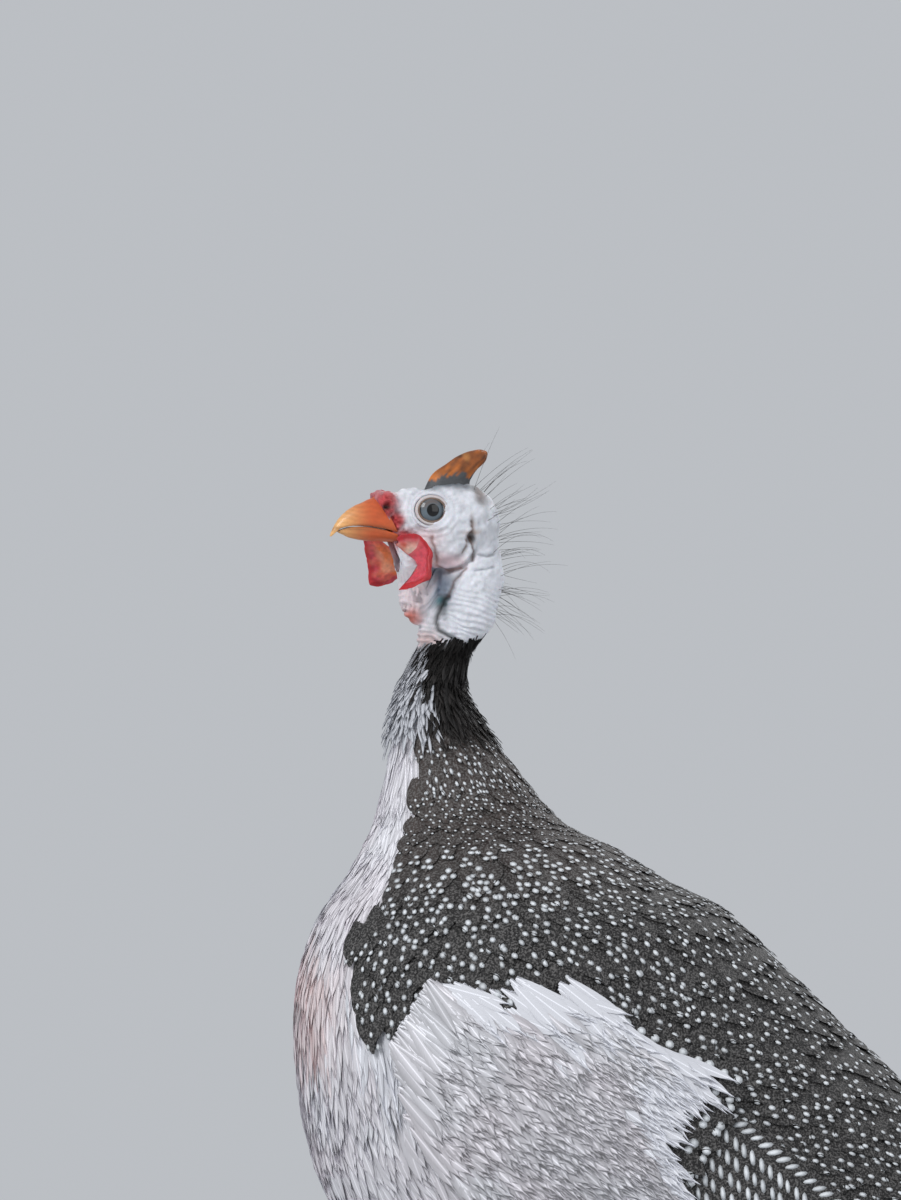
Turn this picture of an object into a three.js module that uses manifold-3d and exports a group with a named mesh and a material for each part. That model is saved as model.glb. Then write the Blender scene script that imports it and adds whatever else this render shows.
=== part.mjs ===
// Helmeted guinea fowl, a life-size standing model.
// Millimetres, +Z up. The bird looks along -X, its left side faces -Y, and it stands on z = 0.
import * as THREE from 'three';
import { mergeVertices } from 'three/addons/utils/BufferGeometryUtils.js';
import Module from 'manifold-3d';

const wasm = await Module();
wasm.setup();

// Driving sizes
const GAP = 0.3;                    // the clear space between touching pieces
const HEAD = { x: -96.7, z: 432.9 }; // the middle of the head, above the floor
const HEAD_TURN = THREE.MathUtils.degToRad(18);  // the head looks this far to its left
const TURN_STARTS = 338;            // height on the neck where it begins to twist
const TURN_ENDS = 398;              // height above which the whole head is turned
const WRIST = { x: -112, z: 230 };  // the bend of the folded wing
const WING_SLOPE = THREE.MathUtils.degToRad(30); // how steeply the folded wing runs down
const TAIL_LENGTH = 93.3;           // the longest tail feather, out of the rump
const TAIL_SLOPE = THREE.MathUtils.degToRad(58);
const STANCE = 33;                  // each foot from the middle plane
const HOCK = { x: 4, z: 88 };       // the heel joint
const ANKLE = { x: -17, z: 9 };     // where the toes meet the shank
const TOE_RADIUS = 4.3;

// Outline ribs of neck, torso and rump, head to tail: the back point, the belly point and the half width.
const RIBS = [
  { back: [-90.9, 384.2], belly: [-112.3, 385.3], half: 9.5 },
  { back: [-93.6, 371.3], belly: [-118.6, 370.5], half: 10.5 },
  { back: [-86.2, 358.0], belly: [-122.5, 357.2], half: 13 },
  { back: [-76.4, 344.0], belly: [-124.0, 344.0], half: 18 },
  { back: [-55.8, 319.8], belly: [-129.9, 319.0], half: 28 },
  { back: [-35.5, 308.9], belly: [-139.6, 299.5], half: 40 },
  { back: [-14.8, 296.4], belly: [-153.7, 276.9], half: 55 },
  { back: [8.6, 283.9], belly: [-160.3, 239.9], half: 68 },
  { back: [32.0, 261.3], belly: [-150.2, 179.4], half: 76 },
  { back: [55.4, 237.9], belly: [-118.2, 138.5], half: 79 },
  { back: [78.8, 215.3], belly: [-75.3, 117.0], half: 78 },
  { back: [100.2, 189.2], belly: [-24.6, 112.3], half: 69 },
  { back: [119.0, 160.7], belly: [26.1, 113.1], half: 53 },
  { back: [131.4, 136.5], belly: [72.9, 112.3], half: 35 },
  { back: [138.5, 117.0], belly: [110.0, 104.5], half: 17 },
];
const NECK_TO_TORSO = 4.5;          // the rib where the neck ends
const TORSO_TO_TAIL = 12.25;        // the rib where the tail begins
const BELLY_FULLNESS = 0.1;         // the trunk is widest a little below its middle

// Ribs of the bare head, bill base to neck, from the head's middle: crown or nape point and throat point.
const HEAD_RIBS = [
  { back: [-34.0, 13.0], belly: [-23.4, -6.0] },
  { back: [-30.3, 15.0], belly: [-24.2, -8.6] },
  { back: [-22.5, 15.6], belly: [-23.4, -16.4] },
  { back: [-12.3, 18.7], belly: [-23.4, -23.4] },
  { back: [-2.0, 19.1], belly: [-23.0, -29.3] },
  { back: [7.0, 15.6], belly: [-21.7, -33.9] },
  { back: [12.7, 8.6], belly: [-18.5, -37.0] },
  { back: [16.8, 0.8], belly: [-14.4, -38.2] },
  { back: [18.9, -8.6], belly: [-12.7, -39.8] },
  { back: [18.5, -19.5], belly: [-12.7, -41.3] },
  { back: [16.0, -29.3], belly: [-13.5, -42.9] },
  { back: [11.9, -38.2], belly: [-14.8, -44.5] },
  { back: [5.8, -48.3], belly: [-15.6, -47.2] },
];
// Swellings that blend into the head: centre x, y, z, radii along x, y, z, and a tilt that lifts the rear.
const HEAD_FORMS = [
  { at: [-1, 0, 2], size: [19, 12.3, 17], tilt: 0 },          // braincase
  { at: [6, 0, -15], size: [12.6, 9.6, 22], tilt: 0 },        // nape
  { at: [-17, 0, 5], size: [14, 8, 11.3], tilt: 0 },          // face
  { at: [-29, 2.6, 8.6], size: [5.6, 4.6, 6.2], tilt: 0 },    // cere round each nostril
  { at: [-5.5, 2.2, -6.5], size: [11.5, 9.6, 9.8], tilt: 0 }, // cheek
  { at: [-17, 0, -9], size: [9, 7.2, 11], tilt: 0 },          // jaw
  { at: [-15.2, 0, -24], size: [7.8, 5.8, 13.2], tilt: 0.08 }, // throat pouch
  { at: [3.2, 3.4, -28], size: [10.6, 7.6, 18], tilt: 0.22 }, // hanging skin of the nape
  { at: [-4.2, 0, -44], size: [10.6, 9.4, 20], tilt: 0 },     // top of the neck
];
const HEAD_BLEND = 1.6;             // how softly those swellings run together
const EYE = { x: -12.5, z: 7.6, y: 6.6, radius: 6, depth: 4.5 };

const MATERIALS = {
  bareSkin: { color: '#dfe1e6', roughness: 0.62 },
  spotted: { color: '#4a4748', roughness: 0.8 },
  collar: { color: '#4b4a4f', roughness: 0.8 },
  wing: { color: '#56534f', roughness: 0.75 },
  casque: { color: '#a8601f', roughness: 0.55 },
  bill: { color: '#cf7a33', roughness: 0.4 },
  wattle: { color: '#c2323a', roughness: 0.45 },
  eye: { color: '#3b3f45', roughness: 0.08 },
  thigh: { color: '#8b8a8d', roughness: 0.8 },
  shank: { color: '#4a4646', roughness: 0.5 },
  claw: { color: '#2f2b28', roughness: 0.4 },
};

const group = new THREE.Group();
const Y_AXIS = new THREE.Vector3(0, 1, 0);

// Small tools for closed surfaces and solids

// A closed tube: rings of points, each from place(along 0..1, round 0..2pi), with a fan at each end.
function loft(rings, sides, place) {
  const points = [];
  for (let i = 0; i < rings; i++) {
    for (let j = 0; j < sides; j++) points.push(place(i / (rings - 1), (2 * Math.PI * j) / sides));
  }
  const middle = (first) => points.slice(first, first + sides)
    .reduce((sum, p) => sum.add(p), new THREE.Vector3()).divideScalar(sides);
  const start = points.push(middle(0)) - 1;
  const end = points.push(middle((rings - 1) * sides)) - 1;
  const faces = [];
  for (let j = 0; j < sides; j++) {
    const next = (j + 1) % sides;
    faces.push(start, next, j);
    faces.push(end, (rings - 1) * sides + j, (rings - 1) * sides + next);
    for (let i = 0; i < rings - 1; i++) {
      const a = i * sides + j;
      const b = i * sides + next;
      faces.push(a, b, b + sides, a, b + sides, a + sides);
    }
  }
  return outward(points, faces);
}

// A thin closed plate: place(along, across, side) gives its upper face at side 1 and its lower at side 0,
// and both faces are cut into the same triangles.
function plate(rows, columns, place) {
  const points = [];
  const faces = [];
  const size = (rows + 1) * (columns + 1);
  for (const side of [1, 0]) {
    for (let i = 0; i <= rows; i++) {
      for (let j = 0; j <= columns; j++) points.push(place(i / rows, j / columns, side));
    }
  }
  const at = (i, j, lower = 0) => lower * size + i * (columns + 1) + j;
  for (let i = 0; i < rows; i++) {
    for (let j = 0; j < columns; j++) {
      const [a, b, c, d] = [at(i, j), at(i, j + 1), at(i + 1, j + 1), at(i + 1, j)];
      faces.push(a, b, c, a, c, d);
      faces.push(a + size, c + size, b + size, a + size, d + size, c + size);
    }
  }
  const wall = (p, q) => faces.push(q, p, p + size, q, p + size, q + size);
  for (let j = 0; j < columns; j++) {
    wall(at(0, j), at(0, j + 1));
    wall(at(rows, j + 1), at(rows, j));
  }
  for (let i = 0; i < rows; i++) {
    wall(at(i + 1, 0), at(i, 0));
    wall(at(i, columns), at(i + 1, columns));
  }
  return outward(points, faces);
}

// A geometry from points and triangles, turned so that its faces point out.
function outward(points, faces) {
  let volume = 0;
  for (let i = 0; i < faces.length; i += 3) {
    const [a, b, c] = [points[faces[i]], points[faces[i + 1]], points[faces[i + 2]]];
    volume += a.dot(b.clone().cross(c));
  }
  if (volume < 0) faces.reverse();
  const geometry = new THREE.BufferGeometry().setFromPoints(points);
  geometry.setIndex(faces);
  return geometry;
}

function toSolid(geometry) {
  const bare = geometry.clone();
  bare.deleteAttribute('normal');
  bare.deleteAttribute('uv');
  const merged = mergeVertices(bare, 1e-4);
  return new wasm.Manifold(new wasm.Mesh({
    numProp: 3,
    vertProperties: new Float32Array(merged.attributes.position.array),
    triVerts: new Uint32Array(merged.index.array),
  }));
}

function toGeometry(solid) {
  const mesh = solid.getMesh();
  const geometry = new THREE.BufferGeometry();
  const places = new Float32Array(mesh.numVert * 3);
  for (let i = 0; i < mesh.numVert; i++) {
    for (let k = 0; k < 3; k++) places[3 * i + k] = mesh.vertProperties[mesh.numProp * i + k];
  }
  geometry.setAttribute('position', new THREE.BufferAttribute(places, 3));
  geometry.setIndex(new THREE.BufferAttribute(mesh.triVerts, 1));
  return geometry;
}

const join = (solids) => solids.reduce((sum, next) => sum.add(next));
const largest = (solid) => solid.decompose().reduce((a, b) => (a.volume() > b.volume() ? a : b));

function ellipsoid(at, size, tilt = 0, across = 16, down = 12) {
  const geometry = new THREE.SphereGeometry(1, across, down);
  geometry.scale(...size).rotateY(tilt).translate(...at);
  return toSolid(geometry);
}

// Moves every point of a geometry by a function of the point.
function bend(geometry, move) {
  const places = geometry.attributes.position;
  const point = new THREE.Vector3();
  for (let i = 0; i < places.count; i++) {
    point.fromBufferAttribute(places, i);
    move(point);
    places.setXYZ(i, point.x, point.y, point.z);
  }
  return geometry;
}

// The head is modelled looking straight ahead, then turned to its left about its own upright line.
function turn(point) {
  const share = THREE.MathUtils.smoothstep(point.z, TURN_STARTS, TURN_ENDS);
  const angle = HEAD_TURN * share;
  const x = point.x - HEAD.x;
  const y = point.y;
  point.x = HEAD.x + x * Math.cos(angle) - y * Math.sin(angle);
  point.y = x * Math.sin(angle) + y * Math.cos(angle);
  return point;
}

const fromHead = (x, y, z) => new THREE.Vector3(HEAD.x + x, y, HEAD.z + z);

function addNode(name, shape, look) {
  const geometry = shape.isBufferGeometry ? shape : toGeometry(shape);
  const material = new THREE.MeshStandardMaterial({ metalness: 0, ...MATERIALS[look] });
  const mesh = new THREE.Mesh(geometry, material);
  mesh.name = name;
  group.add(mesh);
}

const mirror = (solid) => solid.mirror([0, 1, 0]);

// Adds a left node and its mirror image on the right.
function addPair(name, solid, look) {
  addNode(`${name}_left`, solid, look);
  addNode(`${name}_right`, mirror(solid), look);
}

// Neck, torso and rump share one smooth form

const backLine = new THREE.SplineCurve(RIBS.map((r) => new THREE.Vector2(...r.back)));
const bellyLine = new THREE.SplineCurve(RIBS.map((r) => new THREE.Vector2(...r.belly)));
const widthLine = new THREE.SplineCurve(RIBS.map((r, i) => new THREE.Vector2(i, r.half)));
const LAST_RIB = RIBS.length - 1;

// The rib at a fractional index: its middle, the half vector up to the back, and its half width.
function rib(index) {
  const t = THREE.MathUtils.clamp(index / LAST_RIB, 0, 1);
  const back = backLine.getPoint(t);
  const belly = bellyLine.getPoint(t);
  return {
    middle: back.clone().add(belly).multiplyScalar(0.5),
    up: back.clone().sub(belly).multiplyScalar(0.5),
    half: widthLine.getPoint(t).y,
  };
}

// A point on the trunk: round 0 is the back, pi the belly, and extra stands out from the surface.
function trunkPoint(index, round, extra = 0) {
  const { middle, up, half } = rib(index);
  const grown = up.clone().setLength(up.length() + extra);
  const fullness = 1 - BELLY_FULLNESS * Math.cos(round) * THREE.MathUtils.smoothstep(index, 3, 6);
  return new THREE.Vector3(
    middle.x + grown.x * Math.cos(round),
    (half + extra) * Math.sin(round) * fullness,
    middle.y + grown.y * Math.cos(round),
  );
}

const trunkPart = (from, to, rings, sides, extra = 0) => bend(
  loft(rings, sides, (s, round) => trunkPoint(from + (to - from) * s, round, extra)), turn);

// How far the trunk's side stands from the middle plane at a place seen from the side.
function sideOfTrunk(x, z) {
  let low = 3;
  let high = LAST_RIB;
  for (let i = 0; i < 24; i++) {
    const index = (low + high) / 2;
    const { middle, up } = rib(index);
    const ahead = up.x * (z - middle.y) - up.y * (x - middle.x);
    if (ahead > 0) high = index;
    else low = index;
  }
  const { middle, up, half } = rib((low + high) / 2);
  const share = ((x - middle.x) * up.x + (z - middle.y) * up.y) / up.lengthSq();
  const rise = THREE.MathUtils.clamp(share, -1.3, 1.3);
  return half * Math.sqrt(Math.max(0.16, 1 - rise * rise)) * (1 - BELLY_FULLNESS * rise);
}

function addTorsoAndNeck() {
  const cut = 0.009;
  addNode('neck', trunkPart(0, NECK_TO_TORSO - cut, 12, 22), 'collar');
  addNode('torso', trunkPart(NECK_TO_TORSO + cut, TORSO_TO_TAIL - cut, 22, 32), 'spotted');
}

const torsoGrown = () => toSolid(trunkPart(NECK_TO_TORSO - 0.3, LAST_RIB, 26, 32, GAP));

// Bare head

// Signed distance from the head's surface, less than nothing inside it.
function headDistance(x, y, z) {
  let near = 1e9;
  for (const { at, size, tilt } of HEAD_FORMS) {
    const [dx, dz] = [x - at[0], z - at[2]];
    const dy = Math.abs(y) - at[1];
    const px = dx * Math.cos(tilt) + dz * Math.sin(tilt);
    const pz = dz * Math.cos(tilt) - dx * Math.sin(tilt);
    const reach = Math.hypot(px / size[0], dy / size[1], pz / size[2]);
    const slope = Math.hypot(px / size[0] ** 2, dy / size[1] ** 2, pz / size[2] ** 2);
    const distance = reach < 1e-6 ? -Math.min(...size) : (reach * (reach - 1)) / slope;
    const mix = THREE.MathUtils.clamp(0.5 + (0.5 * (near - distance)) / HEAD_BLEND, 0, 1);
    near = near * (1 - mix) + distance * mix - HEAD_BLEND * mix * (1 - mix);
  }
  return near;
}

const crownLine = new THREE.SplineCurve(HEAD_RIBS.map((r) => new THREE.Vector2(...r.back)));
const throatLine = new THREE.SplineCurve(HEAD_RIBS.map((r) => new THREE.Vector2(...r.belly)));

// The point where a ray out from a rib's middle leaves the head.
function headPoint(along, round, extra = 0) {
  const crown = crownLine.getPoint(along);
  const throat = throatLine.getPoint(along);
  const middle = crown.clone().add(throat).multiplyScalar(0.5);
  const up = crown.sub(throat).normalize();
  const way = new THREE.Vector3(up.x * Math.cos(round), Math.sin(round), up.y * Math.cos(round));
  let low = 0;
  let high = 34;
  for (let i = 0; i < 26; i++) {
    const r = (low + high) / 2;
    const inside = headDistance(middle.x + way.x * r, way.y * r, middle.y + way.z * r) < extra;
    if (inside) low = r;
    else high = r;
  }
  return fromHead(middle.x + way.x * low, way.y * low, middle.y + way.z * low);
}

const headForm = (rings, sides, extra = 0) => loft(rings, sides, (s, round) => headPoint(s, round, extra));
const turned = (geometry) => toSolid(bend(geometry, turn));
const turnedSolid = (solid) => turned(toGeometry(solid));

function eyeBall(side, extra = 0) {
  const { x, y, z, radius, depth } = EYE;
  const size = [radius + extra, depth + extra, radius + extra];
  return ellipsoid([HEAD.x + x, side * y, HEAD.z + z], size, 0, 16, 10);
}

// A swelling of the lids round the eye, as a ring lying in the side of the head.
function lidRing(side) {
  const ring = new THREE.TorusGeometry(5.7, 1.05, 6, 18).rotateX(Math.PI / 2).rotateZ(side * -0.1);
  return toSolid(ring.translate(HEAD.x + EYE.x, side * 9.2, HEAD.z + EYE.z));
}

function addHead() {
  let head = toSolid(headForm(27, 26));
  for (const side of [-1, 1]) {
    head = head.add(lidRing(side));
    head = head.subtract(eyeBall(side, GAP));
    const nostril = ellipsoid([HEAD.x - 30.2, side * 7.4, HEAD.z + 8.4], [2.7, 2.2, 1.3], 0.35, 10, 8);
    const ear = ellipsoid([HEAD.x + 3.6, side * 11.6, HEAD.z - 1.6], [1.5, 2.4, 2.1], 0, 10, 8);
    head = head.subtract(nostril).subtract(ear);
  }
  addNode('head', turnedSolid(largest(head)), 'bareSkin');
  for (const side of [-1, 1]) {
    addNode(side < 0 ? 'eye_left' : 'eye_right', turnedSolid(eyeBall(side)), 'eye');
  }
}

// The horny helmet, leaning back from the crown: leading edge, trailing edge and half width, root to tip.
const CASQUE_RIBS = [
  { front: [-12.5, 15.5], rear: [6.0, 12.5], half: 4.6 },
  { front: [-9.6, 21.3], rear: [5.8, 17.6], half: 4.1 },
  { front: [-3.9, 25.6], rear: [6.8, 20.6], half: 3.5 },
  { front: [2.7, 29.7], rear: [9.0, 23.6], half: 2.9 },
  { front: [9.2, 31.4], rear: [12.2, 26.6], half: 2.3 },
  { front: [12.4, 31.1], rear: [13.3, 29.4], half: 1.0 },
];

// A form whose sections run between two lines of [x, z] points, counted from the middle of the head.
function bladed(ribs, rings, sides, section) {
  const [lead, rear] = ['front', 'rear'].map(
    (edge) => new THREE.SplineCurve(ribs.map((r) => new THREE.Vector2(...r[edge]))));
  const half = new THREE.SplineCurve(ribs.map((r, i) => new THREE.Vector2(i, r.half)));
  return loft(rings, sides, (s, round) => {
    const [share, out] = section(round);
    const at = rear.getPoint(s).lerp(lead.getPoint(s), share);
    return fromHead(at.x, half.getPoint(s).y * out, at.y);
  });
}

const oval = (round) => [(1 + Math.cos(round)) / 2, Math.sin(round)];
const arched = (round) => [Math.max(Math.cos(round), 0) ** 0.9, Math.sin(round)];

function addCasque() {
  const horn = toSolid(bladed(CASQUE_RIBS, 11, 16, oval));
  const grownHead = toSolid(headForm(27, 26, GAP));
  addNode('casque', turnedSolid(largest(horn.subtract(grownHead))), 'casque');
}

// Both jaws are arched outside and flat along the line of the mouth. "rear" is that line.
const UPPER_BILL = [
  { front: [-34.4, 12.3], rear: [-26.9, -1.2], half: 6.3 },
  { front: [-37.5, 10.9], rear: [-31.5, 0.5], half: 5.6 },
  { front: [-41.0, 9.4], rear: [-37.5, 1.5], half: 4.7 },
  { front: [-44.5, 7.2], rear: [-43.0, 1.4], half: 3.6 },
  { front: [-47.6, 4.2], rear: [-47.0, 0.6], half: 2.5 },
  { front: [-50.0, 0.4], rear: [-48.9, -1.0], half: 1.4 },
  { front: [-51.2, -2.5], rear: [-50.7, -2.7], half: 0.4 },
];
const LOWER_BILL = [
  { front: [-25.0, -4.6], rear: [-26.5, -1.9], half: 5.8 },
  { front: [-30.5, -4.6], rear: [-31.5, 0.1], half: 5.2 },
  { front: [-37.0, -4.3], rear: [-37.5, 1.1], half: 4.2 },
  { front: [-42.6, -3.3], rear: [-43.0, 1.0], half: 3.0 },
  { front: [-46.6, -1.7], rear: [-46.8, 0.0], half: 1.7 },
  { front: [-48.0, -0.9], rear: [-48.0, -0.7], half: 0.5 },
];

function addBill() {
  const grownHead = toSolid(headForm(27, 26, GAP));
  const upper = toSolid(bladed(UPPER_BILL, 13, 16, arched)).subtract(grownHead);
  const lower = toSolid(bladed(LOWER_BILL, 11, 16, arched)).subtract(grownHead);
  addNode('bill_upper', turnedSolid(largest(upper)), 'bill');
  addNode('bill_lower', turnedSolid(largest(lower)), 'bill');
}

// A wattle is a cupped lobe that hangs from the corner of the mouth, hollow in front, with a thick rim.
const WATTLE_ROOT = [[-26.5, 6.4, -5.8], [-22.0, 6.6, -9.5], [-17.0, 6.4, -13.0]];
const WATTLE_RIM = [
  [-26.5, 8.6, -3.2], [-20.0, 13.2, -1.6], [-15.4, 16.2, -8.0], [-16.8, 18.4, -16.5], [-22.5, 18.6, -21.8],
  [-28.6, 17.6, -23.4],
];

const WATTLE_HOLLOW = 3.2;
const WATTLE_HALF = { thin: 0.8, rim: 1.5, edge: 0.7 };

function wattle(side) {
  const spatial = (list) => new THREE.CatmullRomCurve3(list.map(([x, y, z]) => new THREE.Vector3(x, y, z)));
  const root = spatial(WATTLE_ROOT);
  const rim = spatial(WATTLE_RIM);
  const cup = new THREE.Vector3(0.75, 0.45, -0.5);
  const middle = (along, across) => {
    const hollow = Math.sin(Math.PI * across) * Math.sin(Math.PI * (0.1 + 0.8 * along));
    const flat = root.getPoint(along).lerp(rim.getPoint(along), across);
    return flat.addScaledVector(cup, WATTLE_HOLLOW * hollow);
  };
  const step = 0.01;
  return plate(10, 6, (along, across, face) => {
    const ahead = middle(Math.min(along + step, 1), across).sub(middle(Math.max(along - step, 0), across));
    const down = middle(along, Math.min(across + step, 1)).sub(middle(along, Math.max(across - step, 0)));
    const normal = ahead.cross(down).normalize();
    const swell = THREE.MathUtils.smoothstep(across, 0.5, 0.85);
    const thick = WATTLE_HALF.thin + (WATTLE_HALF.rim - WATTLE_HALF.thin) * swell;
    const half = across < 1 ? thick : WATTLE_HALF.edge;
    const point = middle(along, across).addScaledVector(normal, face ? half : -half);
    return fromHead(point.x, side * point.y, point.z);
  });
}

function addWattles() {
  const grownHead = toSolid(headForm(27, 26, GAP));
  for (const side of [-1, 1]) {
    const lobe = largest(toSolid(wattle(side)).subtract(grownHead));
    addNode(side < 0 ? 'wattle_left' : 'wattle_right', turnedSolid(lobe), 'wattle');
  }
}

// Folded wing, in its own plane: along runs back from the wrist, across runs up.
const wingAt = (along, across) => ({
  x: WRIST.x + along * Math.cos(WING_SLOPE) + across * Math.sin(WING_SLOPE),
  z: WRIST.z - along * Math.sin(WING_SLOPE) + across * Math.cos(WING_SLOPE),
});
const WING_TOP = new THREE.SplineCurve([[-6, 14], [8, 38], [50, 52], [100, 54], [140, 46], [166, 30]]
  .map((p) => new THREE.Vector2(...p)));
const WING_BASE = new THREE.SplineCurve([[-6, 4], [8, -18], [50, -30], [100, -30], [140, -20], [166, 4]]
  .map((p) => new THREE.Vector2(...p)));
const WING_DEPTH = 6.5;             // how far the folded wing stands out from the torso
const WING_ROOT = 5;                // how deep it is sunk before the torso is cut away

// Rows of wing feathers from the hidden ones outwards. Each runs from its root line to its tip line, lower
// end first.
// from and to are its heights over the side of the trunk at root and tip.
const WING_TIERS = [
  { count: 6, roots: [[104, -24], [112, 2]], tips: [[196, -21], [236, 6]], half: 5.2, from: 1.2, to: 1.9 },
  { count: 9, roots: [[86, -24], [92, 42]], tips: [[166, -28], [206, 24]], half: 6.2, from: 1.6, to: 5.6 },
  { count: 8, roots: [[48, -22], [60, 44]], tips: [[108, -36], [126, 48]], half: 7.6, from: 3.0, to: 7.4 },
  { count: 7, roots: [[16, -14], [28, 38]], tips: [[66, -34], [84, 50]], half: 7.4, from: 2.4, to: 8.9 },
];
const VANE_THICKNESS = 0.6;
const SHINGLE = 0.85;               // how much higher the open edge of a vane lies than its middle

// Half the width of a vane along its length, as a share of its widest, round at the tip.
const vaneWidth = (s) => 0.45 + 0.55 * Math.sin(Math.PI * Math.min(0.5, s * 0.9))
  - 0.85 * (Math.max(0, s - 0.72) / 0.28) ** 2;

function wingSurface(along, across) {
  const t = THREE.MathUtils.clamp((along + 6) / 172, 0, 1);
  const [low, high] = [WING_BASE.getPoint(t).y, WING_TOP.getPoint(t).y];
  const share = THREE.MathUtils.clamp((across - low) / (high - low), 0, 1);
  const plump = Math.sin(Math.PI * share) ** 0.6 * Math.sin(Math.PI * Math.min(1, 0.08 + t * 0.9)) ** 0.5;
  const front = 1 - 0.8 * THREE.MathUtils.smoothstep(along, 55, 115);
  return 1.1 + (WING_DEPTH - 1.1) * plump * front;
}

function wingPoint(along, across, height) {
  const { x, z } = wingAt(along, across);
  return new THREE.Vector3(x, -(sideOfTrunk(x, z) + height), z);
}

function wingCore() {
  return plate(12, 6, (along, across, face) => {
    const edge = WING_BASE.getPoint(along).lerp(WING_TOP.getPoint(along), across);
    return wingPoint(edge.x, edge.y, face ? wingSurface(edge.x, edge.y) : -WING_ROOT);
  });
}

// A repeatable random draw between -1 and 1.
let seed = 11;
function draw() {
  seed = (seed * 16807) % 2147483647;
  return (2 * seed) / 2147483647 - 1;
}

function wingVane(tier, i) {
  const share = i / (tier.count - 1);
  const mix = ([from, to]) => new THREE.Vector2(...from).lerp(new THREE.Vector2(...to), share);
  const root = mix(tier.roots);
  const tip = mix(tier.tips);
  tip.lerp(root, 0.02 * draw());
  const way = tip.clone().sub(root).normalize();
  return plate(3, 2, (s, across, face) => {
    const u = 1 - across * 2;
    const reach = s * (1 - 0.04 * u * u);
    const at = root.clone().lerp(tip, reach);
    at.x += way.y * u * tier.half * vaneWidth(s);
    at.y -= way.x * u * tier.half * vaneWidth(s);
    const thickness = VANE_THICKNESS * (s > 0.9 ? 0.6 : 1);
    const height = tier.from + (tier.to - tier.from) * Math.sin(Math.PI * 0.5 * s) + SHINGLE * u;
    return wingPoint(at.x, at.y, height + (face ? thickness : 0));
  });
}

function addWings(grownTorso) {
  const row = (tier) => Array.from({ length: tier.count }, (_, i) => toSolid(wingVane(tier, i)));
  const vanes = WING_TIERS.flatMap(row);
  const wing = largest(join([toSolid(wingCore()), ...vanes]).subtract(grownTorso));
  addPair('wing', wing, 'wing');
}

// Tail

const TAIL_ROOT = { x: 109, z: 138 };
const TAIL_FEATHERS = 5;            // on each side of the middle one

// The two sides of the tail slope down like a roof. side runs from -1 to 1, along is a length from the root.
function tailPoint(side, along, height) {
  const half = 19 + 0.15 * along;
  const droop = 17 * side * side - height;
  return new THREE.Vector3(
    TAIL_ROOT.x + along * Math.cos(TAIL_SLOPE) - 0.5 * droop,
    side * half,
    TAIL_ROOT.z - along * Math.sin(TAIL_SLOPE) - 0.8 * droop,
  );
}

function tailVane(i, { start, length, half, lift }) {
  const middle = i / (TAIL_FEATHERS + 0.6);
  const outer = Math.sign(i);
  const reach = length * (1 - 0.1 * middle * middle) * (1 + 0.02 * draw());
  return plate(3, 2, (s, across, face) => {
    const u = across * 2 - 1;
    const side = middle * 0.92 + u * half * vaneWidth(s);
    const thickness = VANE_THICKNESS * (s > 0.9 ? 0.6 : 1);
    const height = (outer ? SHINGLE * u * outer : SHINGLE + 0.5) + lift + (face ? thickness : 0);
    return tailPoint(side, start + reach * s * (1 - 0.03 * u * u), height);
  });
}

function addTail() {
  const cut = 0.009;
  const stump = toSolid(trunkPart(TORSO_TO_TAIL + cut, LAST_RIB, 8, 22));
  const feathers = { start: -4, length: TAIL_LENGTH + 4, half: 0.145, lift: 0 };
  const coverts = { start: -2, length: 62, half: 0.155, lift: 3.4 };
  const vanes = [];
  for (let i = -TAIL_FEATHERS; i <= TAIL_FEATHERS; i++) {
    vanes.push(toSolid(tailVane(i, feathers)));
    if (Math.abs(i) < 4) vanes.push(toSolid(tailVane(i, coverts)));
  }
  const room = toSolid(trunkPart(NECK_TO_TORSO, TORSO_TO_TAIL + cut, 26, 32, GAP));
  addNode('tail', largest(join([stump, ...vanes]).subtract(room)), 'spotted');
}

// Legs

// A round limb along [x, y, z, radius] stations, flat where it reaches the floor. extra makes it larger.
function limb(stations, rings, sides, squeeze = 1, extra = 0) {
  const line = new THREE.CatmullRomCurve3(stations.map(([x, y, z]) => new THREE.Vector3(x, y, z)));
  const size = new THREE.SplineCurve(stations.map((s, i) => new THREE.Vector2(i, s[3])));
  return loft(rings, sides, (s, round) => {
    const way = line.getTangent(s);
    const across = new THREE.Vector3().crossVectors(way, Y_AXIS);
    if (across.lengthSq() < 1e-4) across.set(1, 0, 0);
    across.normalize();
    const other = new THREE.Vector3().crossVectors(across, way).normalize();
    const radius = size.getPoint(s).y + extra;
    const point = line.getPoint(s)
      .addScaledVector(way, extra * (s === 0 ? -1 : s === 1 ? 1 : 0))
      .addScaledVector(across, radius * Math.cos(round))
      .addScaledVector(other, radius * squeeze * Math.sin(round));
    point.z = Math.max(point.z, 0);
    return point;
  });
}

// Toes by name: their heading from straight ahead (outwards is positive), length, and height of the root.
const TOES = [
  { name: 'inner', heading: -30, length: 35, lift: 0 },
  { name: 'middle', heading: 3, length: 49, lift: 0 },
  { name: 'outer', heading: 37, length: 38, lift: 0 },
  { name: 'back', heading: 174, length: 15, lift: 3.2 },
];
const TOE_SPLIT = 15;               // the toes part from the foot this far from its middle
const CLAW_LENGTH = 10.5;
const CLAW_STATIONS = [[0, 3.4, 2.9], [0.4, 3.5, 2.3], [0.75, 2.6, 1.4], [1, 1.0, 0.45]];

// Points along a toe: a distance out from the foot's middle and a height, on the left side.
function toePlace(toe, distance, height) {
  const angle = THREE.MathUtils.degToRad(toe.heading);
  return [ANKLE.x - distance * Math.cos(angle), -STANCE - distance * Math.sin(angle), height];
}

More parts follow.
